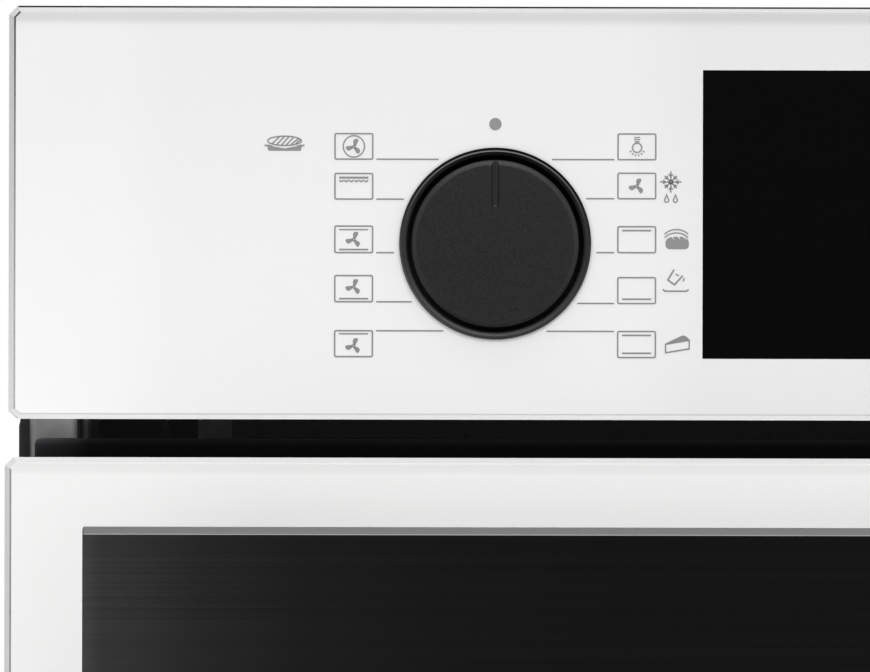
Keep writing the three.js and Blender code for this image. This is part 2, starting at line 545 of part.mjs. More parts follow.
// Door. Every part here turns with it.
function door() {
  node('door_outer_glass', pane(WIDTH / 2, DOOR_BOTTOM, DOOR_TOP, DOOR_FACE, GLASS), 'whiteGlass');
  node('door_middle_glass', block(-246, 246, -9, -5, 48, 470), 'clearGlass');
  node('door_inner_glass', block(-246, 246, 3, 7, 44, 470), 'clearGlass');

  const [near, far] = [DOOR_INSIDE, DOOR_REAR];
  const tube = less(block(250, 275, near, far, 46, 473),
    [block(251.5, 273.5, near + 1.5, far - 1.5, 40, 480)]);
  const clip = less(block(246.4, 250.2, near, far, 60, 460), [block(240, 248.6, -9.4, -4.6, 40, 480)]);
  pair('door_side_profile', joined([tube, clip]), 'aluminium');

  const cap = [[near, CAP_FOOT], [-2, CAP_FOOT], [-2, CAP_TOP - 1.3], [-3.3, CAP_TOP], [near + 1.3, CAP_TOP],
    [near, CAP_TOP - 1.3]];
  const roundEnds = prism('y', rounded(-CAP_HALF, CAP_HALF, 460, CAP_TOP, 1.2), -30, 10);
  const ledge = [[-2.5, CAP_FOOT], [7, CAP_FOOT], [7, 478], [-2.5, 482]];
  const slots = Array.from({ length: 12 }, (_, i) => block(-231 + 38 * i, -205 + 38 * i, -16, -7, 470, 495));
  const head = prism('x', cap, -CAP_HALF, CAP_HALF).intersect(roundEnds).add(prism('x', ledge, -276, 276));
  node('door_top_trim', less(head, slots), 'blackPaint');

  const rail = less(block(-249, 249, near, far, 26, 43.6),
    [block(-245, 245, near + 1.5, far - 1.5, 27.5, 60)]);
  const rungs = [-150, -50, 50, 150].map((x) => block(x - 1, x + 1, -21, 2, 27, 40));
  node('door_bottom_rail', joined([rail, ...rungs]), 'aluminium');

  const [top, bottom, face] = [HANDLE_TOP, HANDLE_BOTTOM, HANDLE_FACE];
  const back = face + HANDLE_THICK;
  const section = [[face, bottom + 2], [face + 2, bottom], [back, bottom], [back, bottom + 8],
    [back - 4, bottom + 11], [back - 4, top - 11], [back, top - 8], [back, top], [face + 2, top],
    [face, top - 2]];
  node('door_handle', prism('x', section, -HANDLE_HALF, HANDLE_HALF), 'darkMetal');
  const mid = (top + bottom) / 2;
  const stem = joined([block(STANDOFF_X - 7, STANDOFF_X + 7, back - 3.7, DOOR_FACE - 3.2, mid - 8, mid + 8),
    block(STANDOFF_X - 11, STANDOFF_X + 11, DOOR_FACE - 3.4, DOOR_FACE - CLEAR, mid - 11, mid + 11)]);
  pair('handle_standoff', stem, 'darkMetal');

  const [py, pz] = PIVOT;
  const yoke = CRANK * Math.SQRT1_2;
  const blade = [[py - 8, pz], [py - 8, 190], [py + 7, 190], [py + 7, 60], [py + 4, 45], [py + 9.5, pz + 9],
    [py + 8, pz]];
  const arm = joined([prism('x', blade, ARM_X, ARM_X + 1.9), rod('x', 8, ARM_X, ARM_X + 1.9, py, pz, 20),
    rod('x', 2, ARM_X, LINK_X + 1.9, py + yoke, pz + yoke, 12),
    block(ARM_X, 266, py - 6, py + 5, 120, 122), block(ARM_X, 266, py - 6, py + 5, 170, 172)]);
  pair('hinge_arm', less(arm, [rod('x', 4.4, ARM_X - 5, ARM_X + 3, py, pz, 20)]), 'zinc');
}

controlPanel();
control('function', -KNOB_X);
control('temperature', KNOB_X);
posts();
airOutlet();
housing();
cavity();
insides();
shelving();
cooling();
hinges();
door();

export default group;
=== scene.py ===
"""Looks of a built-in wall oven: white glass front, dark handle and push-pull knobs.

Lengths are in millimetres until at() turns them into metres. Depths are counted from the rear
face of the mounting flange, as in the solid model.
"""
import math

import bmesh
import bpy
from mathutils import Euler, Matrix, Vector

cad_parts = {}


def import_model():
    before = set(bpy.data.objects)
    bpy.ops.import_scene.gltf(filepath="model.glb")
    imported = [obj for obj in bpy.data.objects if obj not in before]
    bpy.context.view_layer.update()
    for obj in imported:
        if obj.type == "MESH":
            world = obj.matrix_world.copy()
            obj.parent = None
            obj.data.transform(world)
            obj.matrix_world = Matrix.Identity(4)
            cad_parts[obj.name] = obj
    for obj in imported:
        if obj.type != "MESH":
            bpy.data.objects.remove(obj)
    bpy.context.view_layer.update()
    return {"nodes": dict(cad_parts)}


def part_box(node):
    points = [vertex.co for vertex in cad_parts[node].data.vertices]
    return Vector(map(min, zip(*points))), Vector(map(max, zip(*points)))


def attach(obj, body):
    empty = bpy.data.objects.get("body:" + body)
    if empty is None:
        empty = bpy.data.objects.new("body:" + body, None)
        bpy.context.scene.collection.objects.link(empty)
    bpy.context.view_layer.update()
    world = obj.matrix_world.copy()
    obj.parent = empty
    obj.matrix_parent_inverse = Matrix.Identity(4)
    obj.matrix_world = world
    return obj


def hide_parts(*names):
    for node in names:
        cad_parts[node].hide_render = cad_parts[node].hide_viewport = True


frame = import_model()

MM = 0.001
GLASS_FRONT = -22.0
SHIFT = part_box("control_glass")[0].y / MM - GLASS_FRONT
BODY = "oven_body"


def at(x, y, z):
    return Vector((x, y + SHIFT, z)) * MM


def edges(node):
    """Lowest and highest corner of a CAD node, in this script's millimetres."""
    low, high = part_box(node)
    return [(c.x / MM, c.y / MM - SHIFT, c.z / MM) for c in (low, high)]


def middle(node):
    return [(low + high) / 2 for low, high in zip(*edges(node))]


# ---------------------------------------------------------------- materials

def shader_of(mat):
    return mat.node_tree.nodes["Principled BSDF"]


def set_inputs(node, values):
    """Sets a shader node's inputs, by name or number. A value that is a socket is linked."""
    for name, value in values.items():
        if isinstance(value, bpy.types.NodeSocket):
            node.id_data.links.new(value, node.inputs[name])
        else:
            node.inputs[name].default_value = value


def add_node(tree, kind, values):
    node = tree.nodes.new("ShaderNode" + kind)
    set_inputs(node, values)
    return node


def object_place(tree):
    return add_node(tree, "TexCoord", {}).outputs["Object"]


def mix_colors(tree, kind, factor, a, b):
    node = tree.nodes.new("ShaderNodeMix")
    node.data_type = "RGBA"
    node.blend_type = kind
    set_inputs(node, {"Factor": factor, "A": a, "B": b})
    return node.outputs["Result"]


def multiply_color(mat, socket):
    """Multiplies a material's base colour by what the socket gives."""
    shader = shader_of(mat)
    source = shader.inputs["Base Color"].links[0].from_socket
    set_inputs(shader, {"Base Color": mix_colors(mat.node_tree, "MULTIPLY", 1.0, source, socket)})


def surface(name, color, rough, metal=0.0, grain=600.0, stretch=(1, 1, 1), tint=0.06,
            rough_swing=0.08, bump=0.02, specular=0.5, coat=0.0):
    """A material whose colour, gloss and height vary with a noise of the given grain."""
    mat = bpy.data.materials.new(name)
    mat.use_nodes = True
    tree = mat.node_tree
    mapping = add_node(tree, "Mapping", {"Vector": object_place(tree), "Scale": stretch})
    noise = add_node(tree, "TexNoise", {"Vector": mapping.outputs["Vector"], "Scale": grain, "Detail": 4.0})
    speckle = noise.outputs["Fac"]
    dark = [c * (1 - tint) for c in color] + [1]
    light = [min(1, c * (1 + tint)) for c in color] + [1]
    gloss = add_node(tree, "MapRange", {"Value": speckle, "To Min": max(0.02, rough - rough_swing),
                                        "To Max": min(1, rough + rough_swing)})
    shader = shader_of(mat)
    set_inputs(shader, {"Base Color": mix_colors(tree, "MIX", speckle, dark, light),
                        "Roughness": gloss.outputs["Result"], "Metallic": metal,
                        "Specular IOR Level": specular, "Coat Weight": coat, "Coat Roughness": 0.05})
    if bump:
        relief = add_node(tree, "Bump", {"Height": speckle, "Strength": bump, "Distance": 0.0004})
        set_inputs(shader, {"Normal": relief.outputs["Normal"]})
    return mat


def along(mat, axis, span, stops):
    """Paints light and shade into a surface's colour: multiplies it by a ramp of grey stops between two
    places on one axis.

    Along X the ramp is mirrored, since the front is the same on both sides.
    """
    tree = mat.node_tree
    value = add_node(tree, "SeparateXYZ", {"Vector": object_place(tree)}).outputs[axis]
    if axis == "X":
        size = tree.nodes.new("ShaderNodeMath")
        size.operation = "ABSOLUTE"
        tree.links.new(value, size.inputs[0])
        value = size.outputs[0]
    start, end = (at(place, place, place)["XYZ".index(axis)] for place in span)
    place = add_node(tree, "MapRange", {"Value": value, "From Min": start, "From Max": end})
    ramp = add_node(tree, "ValToRGB", {"Fac": place.outputs["Result"]})
    bands = ramp.color_ramp.elements
    while len(bands) < len(stops):
        bands.new(0.5)
    for band, (position, grey) in zip(bands, stops):
        band.position = position
        band.color = (grey, grey, grey, 1)
    multiply_color(mat, ramp.outputs["Color"])
    return mat


def clear_glass(name, tint, rough=0.0):
    mat = bpy.data.materials.new(name)
    mat.use_nodes = True
    set_inputs(shader_of(mat), {"Base Color": (*tint, 1), "Roughness": rough, "IOR": 1.45,
                                "Transmission Weight": 1.0})
    return mat


def spangle(name, color):
    """Galvanised sheet: flat crystals of slightly different grey under a fine grain."""
    mat = surface(name, color, 0.42, 0.85, grain=900, tint=0.05, bump=0.01)
    tree = mat.node_tree
    cells = add_node(tree, "TexVoronoi", {"Vector": object_place(tree), "Scale": 140})
    grey = add_node(tree, "MapRange", {"Value": cells.outputs["Color"], "To Min": 0.84, "To Max": 1.0})
    multiply_color(mat, grey.outputs["Result"])
    return mat


# Ramps along the pieces paint light and shade into their colour, in place of the room's reflections and the
# shadows that the parts cast on one another.
PANEL_SPAN = (495, 595)
RING_SPAN = (514, 560.7)
CAP_TOP = edges("door_top_trim")[1][2]

PANEL_WHITE = surface("white printed panel glass", (0.805, 0.807, 0.807), 0.06, grain=3, tint=0.004,
                      rough_swing=0.02, bump=0)
# Painted shade: the panel glass darkens towards its top, most in a band just under the top edge.
along(PANEL_WHITE, "Z", PANEL_SPAN,
      [(0.0, 1.0), (0.115, 0.965), (0.29, 0.93), (0.53, 0.893), (0.77, 0.86), (0.93, 0.85),
       (0.954, 0.83), (0.967, 0.69), (0.975, 0.675), (1.0, 0.7)])
# Painted shade: the panel glass is darker about the display and lightest at its outer ends.
along(PANEL_WHITE, "X", (127.6, 275),
      [(0.0, 0.93), (0.12, 0.975), (0.4, 0.98), (0.88, 0.975), (0.97, 1.0), (1.0, 1.0)])
# Painted light: the door glass is given a whiter colour than the panel glass, to lift the shadow that the
# handle casts on it.
DOOR_WHITE = surface("white printed door glass", (0.915, 0.915, 0.908), 0.06, grain=3, tint=0.004,
                     rough_swing=0.02, bump=0)
# Painted shade: the door glass darkens towards its left and right edges.
along(DOOR_WHITE, "X", (200, 297.5),
      [(0.0, 1.0), (0.26, 0.991), (0.46, 0.973), (0.66, 0.951), (0.85, 0.89), (1.0, 0.86)])
# Painted shade: the door glass darkens in a band under its top edge.
along(DOOR_WHITE, "Z", (476, 485.2), [(0.0, 1.0), (0.55, 0.985), (0.62, 0.92), (0.8, 0.88), (1.0, 0.88)])
# Lit and shaded copies of one ground glass edge, one for each way it faces, with light and shade painted into
# their colours.
GROUND = [
    # Painted shade: the side edges darken towards the top.
    along(surface("ground edge, side", (0.56, 0.565, 0.565), 0.3, grain=1500), "Z", PANEL_SPAN,
          [(0.0, 0.9), (0.005, 1.0), (0.2, 0.95), (0.5, 0.85), (1.0, 0.78)]),
    # Painted light: the lower edge, which faces down, is painted near white and darker towards its ends.
    along(surface("ground edge, lower", (0.97, 0.97, 0.97), 0.3, grain=1500, tint=0.02), "X", (225.5, 294),
          [(0.0, 1.0), (0.5, 0.95), (0.85, 0.86), (1.0, 0.76)]),
    # Painted shade: the upper edge is painted darker than the others, and darker still towards the top.
    along(surface("ground edge, upper", (0.51, 0.512, 0.51), 0.3, grain=1500, tint=0.04), "Z", (490, 590),
          [(0.0, 1.0), (1.0, 0.92)]),
    # Painted shade: the thin line where the side edges meet the face, light low down and nearly black at the
    # top.
    along(surface("polished line with painted shade", (0.36, 0.36, 0.36), 0.3, grain=900, tint=0.2, bump=0), "Z", PANEL_SPAN,
          [(0.0, 0.65), (0.01, 1.0), (0.4, 0.75), (0.8, 0.3), (0.93, 0.16), (1.0, 0.1)]),
    # Painted shade: a near black line along the panel's top edge, which reflects nothing.
    surface("polished rim with painted shade", (0.02, 0.021, 0.02), 0.6, grain=900, tint=0.1, bump=0, specular=0.0),
    # Painted light: the lower cut corners, lighter than the side edges.
    surface("ground edge, lower corner", (0.7, 0.7, 0.7), 0.3, grain=1500, tint=0.02),
]
PRINT = surface("printed grey", (0.213, 0.216, 0.218), 0.4, grain=4000, tint=0.02, bump=0)
BLACK_GLASS = surface("black display glass", (0.0015, 0.0015, 0.0016), 0.05, grain=3, tint=0.02,
                      rough_swing=0.02, bump=0, specular=0.12)
DISC = surface("blasted black aluminium", (0.033, 0.032, 0.032), 0.45, 1.0, grain=3200, tint=0.6, bump=0.25)
RING = surface("turned black aluminium", (0.19, 0.19, 0.192), 0.34, 1.0, grain=5000, tint=0.08)
# Painted light and shade: the ring is dark at the top and lighter below, in place of the room it would
# reflect.
along(RING, "Z", RING_SPAN,
      [(0.0, 0.33), (0.07, 0.4), (0.25, 0.62), (0.5, 0.5), (0.75, 0.15), (0.93, 0.075), (1.0, 0.06)])
# Painted shade: the ring is darker on the side nearer the middle of the front.
along(RING, "X", (154.7, 201.5), [(0.0, 0.55), (0.5, 0.8), (1.0, 1.0)])
LIP = surface("polished lip with painted highlight", (0.26, 0.26, 0.262), 0.3, 1.0, grain=5000, tint=0.08, bump=0)
# Painted highlight: the lip is bright along its top and dim below.
along(LIP, "Z", RING_SPAN, [(0.0, 0.35), (0.4, 0.22), (0.6, 0.25), (0.85, 0.6), (1.0, 0.9)])
BAR = surface("brushed black aluminium", (0.1, 0.098, 0.099), 0.36, 1.0, grain=420,
              stretch=(0.012, 1, 5), tint=0.22, rough_swing=0.06, bump=0.012)
# Painted reflection: the bar and its stems are dark in the middle and bright towards the ends.
along(BAR, "X", (150, 277.5),
      [(0.0, 0.13), (0.33, 0.154), (0.59, 0.205), (0.78, 0.318), (0.967, 0.57), (1.0, 0.85)])
CUT = surface("cut aluminium edge", (0.102, 0.101, 0.1), 0.36, 1.0, grain=420, stretch=(0.015, 1, 5),
              tint=0.12, bump=0.01)
ARRIS = surface("polished arris", (0.14, 0.139, 0.138), 0.3, 1.0, grain=420, stretch=(0.015, 1, 5),
                tint=0.12, bump=0)
BLACK_PAINT = surface("satin black paint", (0.006, 0.006, 0.007), 0.5, grain=2500, bump=0.04, specular=0.2)
CAP_PAINT = surface("black cap with painted shade", (0.108, 0.108, 0.117), 0.8, grain=2500, bump=0.03, specular=0.03)
# Painted shade and light: the cap is nearly black where it lies under the panel, and lit up towards its ends.
along(CAP_PAINT, "X", (268, 290),
      [(0.0, 0.05), (0.4, 0.075), (0.75, 0.375), (0.93, 0.5), (0.97, 0.62), (1.0, 1.0)])
# Painted light along the cap's top edge, darker below it.
along(CAP_PAINT, "Z", (CAP_TOP - 3, CAP_TOP),
      [(0.0, 0.17), (0.4, 0.22), (0.65, 0.3), (0.85, 0.5), (0.95, 0.8), (1.0, 1.0)])
VENT = surface("black outlet with painted highlight", (0.4, 0.39, 0.39), 0.35, 1.0, grain=900, tint=0.1)
# Painted highlight: a bright line near each end of the outlet, which is painted dark elsewhere.
along(VENT, "X", (270, 281), [(0.0, 0.05), (0.6, 0.05), (0.69, 0.4), (0.745, 1.0), (0.8, 0.5), (0.88, 0.1)])
DUCT = spangle("galvanised duct", (0.26, 0.26, 0.26))
# Painted light: the outlet and the duct glow faintly, though neither is a lamp, to lighten the shade in the
# gap under the panel.
for mat, glow in ((VENT, 0.003), (DUCT, 0.0038)):
    set_inputs(shader_of(mat), {"Emission Color": (1, 1, 1, 1), "Emission Strength": glow})
BLACK_PLASTIC = surface("black plastic", (0.006, 0.006, 0.006), 0.5, grain=3000, bump=0.06, specular=0.25)
GREY_PLASTIC = surface("grey plastic", (0.09, 0.092, 0.095), 0.55, grain=2500, bump=0.05)
ZINC = spangle("galvanised steel", (0.52, 0.53, 0.54))
# Painted light and shade: the post is given a near white colour, brightest at its inner edge and darker
# across its width, to undo the shade under the panel.
POST = surface("phosphated post", (0.98, 0.95, 0.95), 0.5, 0.6, grain=900, tint=0.04)
along(POST, "X", (280.5, 291.9),
      [(0.0, 1.0), (0.08, 1.0), (0.13, 0.84), (0.34, 0.65), (0.56, 0.49), (0.77, 0.39), (0.86, 0.41),
       (0.95, 0.57), (1.0, 0.65)])
# Painted shade: the post is darker behind its front face.
along(POST, "Y", (-1.5, 44), [(0.0, 1.0), (0.035, 1.0), (0.07, 0.6), (1.0, 0.55)])
STEEL = surface("bright steel", (0.62, 0.625, 0.63), 0.26, 1.0, grain=1200, stretch=(1, 1, 0.05), bump=0.01)
CHROME = surface("chromed wire", (0.72, 0.73, 0.74), 0.14, 1.0, grain=900, rough_swing=0.05, bump=0.01)
ENAMEL = surface("speckled enamel", (0.03, 0.031, 0.04), 0.2, grain=2600, tint=0.5, rough_swing=0.06,
                 bump=0.03, coat=0.4)
SHEATH = surface("heat darkened sheath", (0.1, 0.095, 0.09), 0.5, 0.8, grain=1200, tint=0.25, bump=0.05)
RUBBER = surface("black rubber", (0.014, 0.014, 0.014), 0.75, grain=1800, bump=0.08, specular=0.25)
GASKET = surface("woven grey seal", (0.1, 0.1, 0.1), 0.85, grain=1400, tint=0.4, bump=0.3)
WOOL = surface("mineral wool", (0.42, 0.34, 0.2), 0.95, grain=420, stretch=(1, 1, 3), tint=0.3, bump=0.6)
BOARD = surface("circuit board", (0.015, 0.09, 0.035), 0.4, grain=500, tint=0.2, bump=0.03)
ALUMINIUM = surface("mill aluminium", (0.6, 0.605, 0.61), 0.34, 1.0, grain=700, stretch=(1, 1, 0.03),
                    bump=0.015)
PANE = clear_glass("clear pane", (0.93, 0.96, 0.95))
GLASS_EDGE = surface("ground green edge", (0.12, 0.2, 0.17), 0.35, grain=1500, tint=0.15, bump=0.05)
FRIT = surface("black printed border", (0.008, 0.008, 0.008), 0.08, grain=3, tint=0.05, rough_swing=0.02,
               bump=0)
TINTED = clear_glass("tinted window", (0.17, 0.175, 0.175))
SCREW = surface("zinc screw", (0.5, 0.5, 0.48), 0.35, 1.0, grain=1500)
BULB = surface("pearl bulb", (0.75, 0.73, 0.68), 0.3, grain=300, tint=0.03, bump=0)
WARM_GLASS = clear_glass("frosted lamp glass", (0.95, 0.94, 0.9), 0.25)


# ---------------------------------------------------------------- geometry

def polar(u, v, r, t):
    return u + r * math.cos(t), v + r * math.sin(t)


def turned(u, v, a, b, t):
    """The place (a, b) seen from (u, v), after a turn about it."""
    return u + a * math.cos(t) - b * math.sin(t), v + a * math.sin(t) + b * math.cos(t)


def rounded(u0, u1, v0, v1, r, n=8):
    """An outline with round corners of n steps each."""
    corners = ((u1 - r, v1 - r), (u0 + r, v1 - r), (u0 + r, v0 + r), (u1 - r, v0 + r))
    return [polar(*corners[q], r, (q + i / n) * math.pi / 2) for q in range(4) for i in range(n + 1)]


def stadium(u0, u1, v0, v1, n=8):
    """An outline with round ends."""
    return rounded(u0, u1, v0, v1, min(u1 - u0, v1 - v0) / 2 - 0.01, n)


def facing(axis, u, v, w):
    """The point at w on an axis, over the place (u, v) on the plane across it.

    The place is (y, z) for axis x, (x, z) for y and (x, y) for z.
    """
    return {"x": (w, u, v), "y": (u, w, v), "z": (u, v, w)}[axis]


def front_loops(box, n, stations):
    """Rounded outlines seen from the front, each from its depth, inset from the box and radius."""
    (x0, _, z0), (x1, _, z1) = box
    return [[(x, y, z) for x, z in rounded(x0 + inset, x1 - inset, z0 + inset, z1 - inset, r, n)]
            for y, inset, r in stations]


def curve_through(points, spacing):
    """Points along a centripetal Catmull-Rom curve, about spacing apart."""
    def between(a, b, start, end, t):
        return a * ((end - t) / (end - start)) + b * ((t - start) / (end - start))

    knots = [Vector(p) for p in points]
    knots = [knots[0] * 2 - knots[1]] + knots + [knots[-1] * 2 - knots[-2]]
    out = []
    for p0, p1, p2, p3 in zip(knots, knots[1:], knots[2:], knots[3:]):
        t1 = math.sqrt((p1 - p0).length)
        t2 = t1 + math.sqrt((p2 - p1).length)
        t3 = t2 + math.sqrt((p3 - p2).length)
        steps = max(2, int((p2 - p1).length / spacing))
        for s in range(steps):
            t = t1 + (t2 - t1) * s / steps
            a1 = between(p0, p1, 0.0, t1, t)
            a2 = between(p1, p2, t1, t2, t)
            a3 = between(p2, p3, t2, t3, t)
            out.append(between(between(a1, a2, 0.0, t2, t), between(a2, a3, t1, t3, t), t1, t2, t))
    out.append(knots[-2])
    return out


def bevel_edges(part, sharp, size, segments=2):
    bmesh.ops.bevel(part, geom=sharp, offset=size * MM, segments=segments, profile=0.5, affect="EDGES",
                    clamp_overlap=True)


class Piece:
    """Collects closed shapes into one mesh. Each shape's method gives back the piece."""

    def __init__(self, name):
        self.name = name
        self.bm = bmesh.new()

    def add(self, shape, placement=None):
        """Copies a bmesh into the piece, moved by a matrix if one is given."""
        mesh = bpy.data.meshes.new("scratch")
        shape.to_mesh(mesh)
        if placement:
            mesh.transform(placement)
        self.bm.from_mesh(mesh)
        bpy.data.meshes.remove(mesh)
        return self

    def take(self, part):
        bmesh.ops.recalc_face_normals(part, faces=part.faces)
        return self.add(part)

    def box(self, x, y, z, bevel=0.0, segments=2):
        part = bmesh.new()
        bmesh.ops.create_cube(part, size=1)
        size = Vector((x[1] - x[0], y[1] - y[0], z[1] - z[0])) * MM
        centre = at((x[0] + x[1]) / 2, (y[0] + y[1]) / 2, (z[0] + z[1]) / 2)
        for v in part.verts:
            v.co = Vector(a * b for a, b in zip(v.co, size)) + centre
        if bevel:
            bevel_edges(part, part.edges[:], bevel, segments)
        return self.take(part)

    def prism(self, axis, outline, low, high, bevel=0.0):
        """Extrudes an outline along an axis."""
        part = bmesh.new()
        rows = [[part.verts.new(at(*facing(axis, u, v, w))) for u, v in outline] for w in (low, high)]
        n = len(outline)
        part.faces.new(rows[0])
        part.faces.new(rows[1][::-1])
        for i in range(n):
            j = (i + 1) % n
            part.faces.new([rows[0][i], rows[1][i], rows[1][j], rows[0][j]])
        if bevel:
            bmesh.ops.recalc_face_normals(part, faces=part.faces)
            bevel_edges(part, [e for e in part.edges if e.calc_face_angle(0) > math.radians(30)], bevel)
        return self.take(part)

    def lathe(self, axis, profile, u, v, sides=96, bands=()):
        """Revolves (radius, height) points. A profile off the axis closes on itself.

        The strips after the points in bands take the second material.
        """
        part = bmesh.new()
        turns = [2 * math.pi * i / sides for i in range(sides)]
        rings = []
        for r, h in profile:
            if r < 1e-6:
                rings.append([part.verts.new(at(*facing(axis, u, v, h)))] * sides)
            else:
                rings.append([part.verts.new(at(*facing(axis, *polar(u, v, r, t), h))) for t in turns])
        closed = profile[0][0] > 1e-6
        for k in range(len(rings) if closed else len(rings) - 1):
            a, b = rings[k], rings[(k + 1) % len(rings)]
            for i in range(sides):
                j = (i + 1) % sides
                corners = list(dict.fromkeys((a[i], a[j], b[j], b[i])))
                if len(corners) > 2:
                    part.faces.new(corners).material_index = int(k in bands)
        return self.take(part)

    def loft(self, loops, look=None, caps=0, closed=False):
        """Joins outlines of equal length in turn, and caps both ends or closes the last on the first.

        look(band, side) gives the material number of each face between two outlines.
        """
        part = bmesh.new()
        rows = [[part.verts.new(at(*point)) for point in loop] for loop in loops]
        following = rows[1:] + rows[:1] if closed else rows[1:]
        for k, (a, b) in enumerate(zip(rows, following)):
            for i in range(len(a)):
                j = (i + 1) % len(a)
                part.faces.new([a[i], a[j], b[j], b[i]]).material_index = look(k, i) if look else 0
        if not closed:
            part.faces.new(rows[0]).material_index = caps
            part.faces.new(rows[-1][::-1]).material_index = caps
        return self.take(part)

    def tube(self, points, radius, sides=14, closed=False):
        """Sweeps a round bar through points. An open bar has domed ends."""
        line = [Vector(p) for p in points]
        radii = [radius] * len(line)
        if not closed:
            start, end = (line[0] - line[1]).normalized(), (line[-1] - line[-2]).normalized()
            line = [line[0] + start * radius * 0.3] + line + [line[-1] + end * radius * 0.3]
            radii = [radius * 0.7] + radii + [radius * 0.7]
        turns = [2 * math.pi * k / sides for k in range(sides)]
        normal = None
        loops = []
        n = len(line)
        for i, (p, r) in enumerate(zip(line, radii)):
            before = line[i - 1] if closed or i else p
            after = line[(i + 1) % n] if closed or i < n - 1 else p
            ahead = (after - before).normalized()
            if normal is None:
                normal = ahead.orthogonal()
            normal = (normal - ahead * normal.dot(ahead)).normalized()
            side = ahead.cross(normal)
            loops.append([p + r * (normal * math.cos(t) + side * math.sin(t)) for t in turns])
        return self.loft(loops, closed=closed)

    def cut(self, tools):
        """Takes away other pieces with exact booleans."""
        body = self.mesh_object()
        for tool in tools:
            cutter = tool.mesh_object()
            step = body.modifiers.new("cut", "BOOLEAN")
            step.operation = "DIFFERENCE"
            step.solver = "EXACT"
            step.object = cutter
            depsgraph = bpy.context.evaluated_depsgraph_get()
            mesh = bpy.data.meshes.new_from_object(body.evaluated_get(depsgraph))
            body.modifiers.clear()
            body.data = mesh
            bpy.data.objects.remove(cutter)
        self.bm = bmesh.new()
        self.bm.from_mesh(body.data)
        bpy.data.objects.remove(body)
        return self

    def mesh_object(self):
        mesh = bpy.data.meshes.new(self.name)
        self.bm.to_mesh(mesh)
        self.bm.free()
        obj = bpy.data.objects.new(self.name, mesh)
        bpy.context.scene.collection.objects.link(obj)
        return obj

    def finish(self, materials, body=BODY, replaces=None, slot=None, smooth=32):
        """Makes the object, with edges sharper than smooth degrees kept sharp."""
        obj = self.mesh_object()
        for mat in materials:
            obj.data.materials.append(mat)
        if smooth:
            obj.data.shade_smooth()
            obj.data.set_sharp_from_angle(angle=math.radians(smooth))
        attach(obj, body)
        if replaces:
            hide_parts(replaces)


def rod(u, v, r, low, high, axis="y", sides=32):
    """A round cutter."""
    return Piece("tool").lathe(axis, [(0, low), (r, low), (r, high), (0, high)], u, v, sides)


# ---------------------------------------------------------------- glass front

BEVEL = 1.25
CORNER = 2.15
LOWER_SLOPE = 0.27
LOWER_WIDTH = 0.88
FACE, SIDE, LOW, TOP, SIDE_LINE, RIM, CUT_CORNER, CLEAR = range(8)


def clipped(x, z, inset, corner):
    """A rectangle with cut corners, from the lower right corner round."""
    a, b, low, high = x[0] + inset, x[1] - inset, z[0] + inset, z[1] - inset
    return [(b - corner, low), (b, low + corner), (b, high - corner), (b - corner, high),
            (a + corner, high), (a, high - corner), (a, low + corner), (a + corner, low)]


def pane(name, node, inside=0.0, window=None, openings=(), holes=()):
    """A pane with clipped corners, ground front edges and a thin line where they meet the face.

    The sides of the edge differ in how they catch the light, so each has a material number whose colour holds
    painted light and shade. A window is left unprinted, and openings and holes go right through.
    """
    (x0, y0, z0), (x1, y1, z1) = edges(node)
    x0, x1 = x0 + inside, x1 - inside
    slope = CORNER - BEVEL * 0.55
    fine = 0.42
    stations = [(BEVEL + fine, slope - fine * 0.55, y0), (BEVEL, slope, y0 + 0.05),
                (fine, CORNER - 0.23, y0 + 0.87), (0, CORNER, y0 + BEVEL), (0, CORNER, y1 - 0.4),
                (0.4, CORNER - 0.2, y1)]

    def lowered(x, y, z):
        """The lower edge is narrower and leans back less than the others."""
        if z > z0 + BEVEL + CORNER:
            return x, y, z
        lean = LOWER_SLOPE if y < y0 + BEVEL + 0.01 else 1
        return x, y0 + (y - y0) * lean, z0 + (z - z0) * LOWER_WIDTH

    loops = [[lowered(x, y, z) for x, z in clipped((x0, x1), (z0, z1), inset, corner)]
             for inset, corner, y in stations]
    first = 0
    if window:
        half, low, high = window
        inner = [[(x, y, z) for x, z in clipped((-half, half), (low, high), 0, 9)] for y in (y0, y1)]
        loops = inner[:1] + loops + inner[1:]
        first = 1

    def look(band, side):
        kind = {0: CUT_CORNER, 3: TOP, 6: CUT_CORNER, 7: LOW}.get(side, SIDE)
        if band == first:
            if window and side in (2, 4):
                return FACE
            return {TOP: FACE, LOW: SIDE, CUT_CORNER: SIDE}.get(kind, SIDE_LINE)
        if band == first + 2:
            if kind == CUT_CORNER:
                return SIDE
            if kind == TOP and not window:
                return RIM
        return FACE if window and band in (0, len(loops) - 2) else kind

    piece = Piece(name).loft(loops, look, CLEAR if window else FACE)
    through = (y0 - 5, y1 + 5)
    tools = [rod(x, z, r, *through, sides=96) for x, z, r in holes]
    tools += [Piece("tool").box((a, b), through, (low, high)) for a, b, low, high in openings]
    return piece.cut(tools) if tools else piece


KNOB_X = middle("function_knob")[0]
KNOB_Z = middle("function_bezel")[2]


def control_glass():
    (a, _, low), (b, _, high) = edges("display_lens")
    gap, knob_hole = 0.04, 22.2
    piece = pane("control_glass_face", "control_glass", openings=[(a - gap, b + gap, low - gap, high + gap)],
                 holes=[(x, KNOB_Z, knob_hole) for x in (KNOB_X, -KNOB_X)])
    piece.finish([PANEL_WHITE] + GROUND, replaces="control_glass", slot="white_glass", smooth=0)


control_glass()


# ---------------------------------------------------------------- printed pictograms

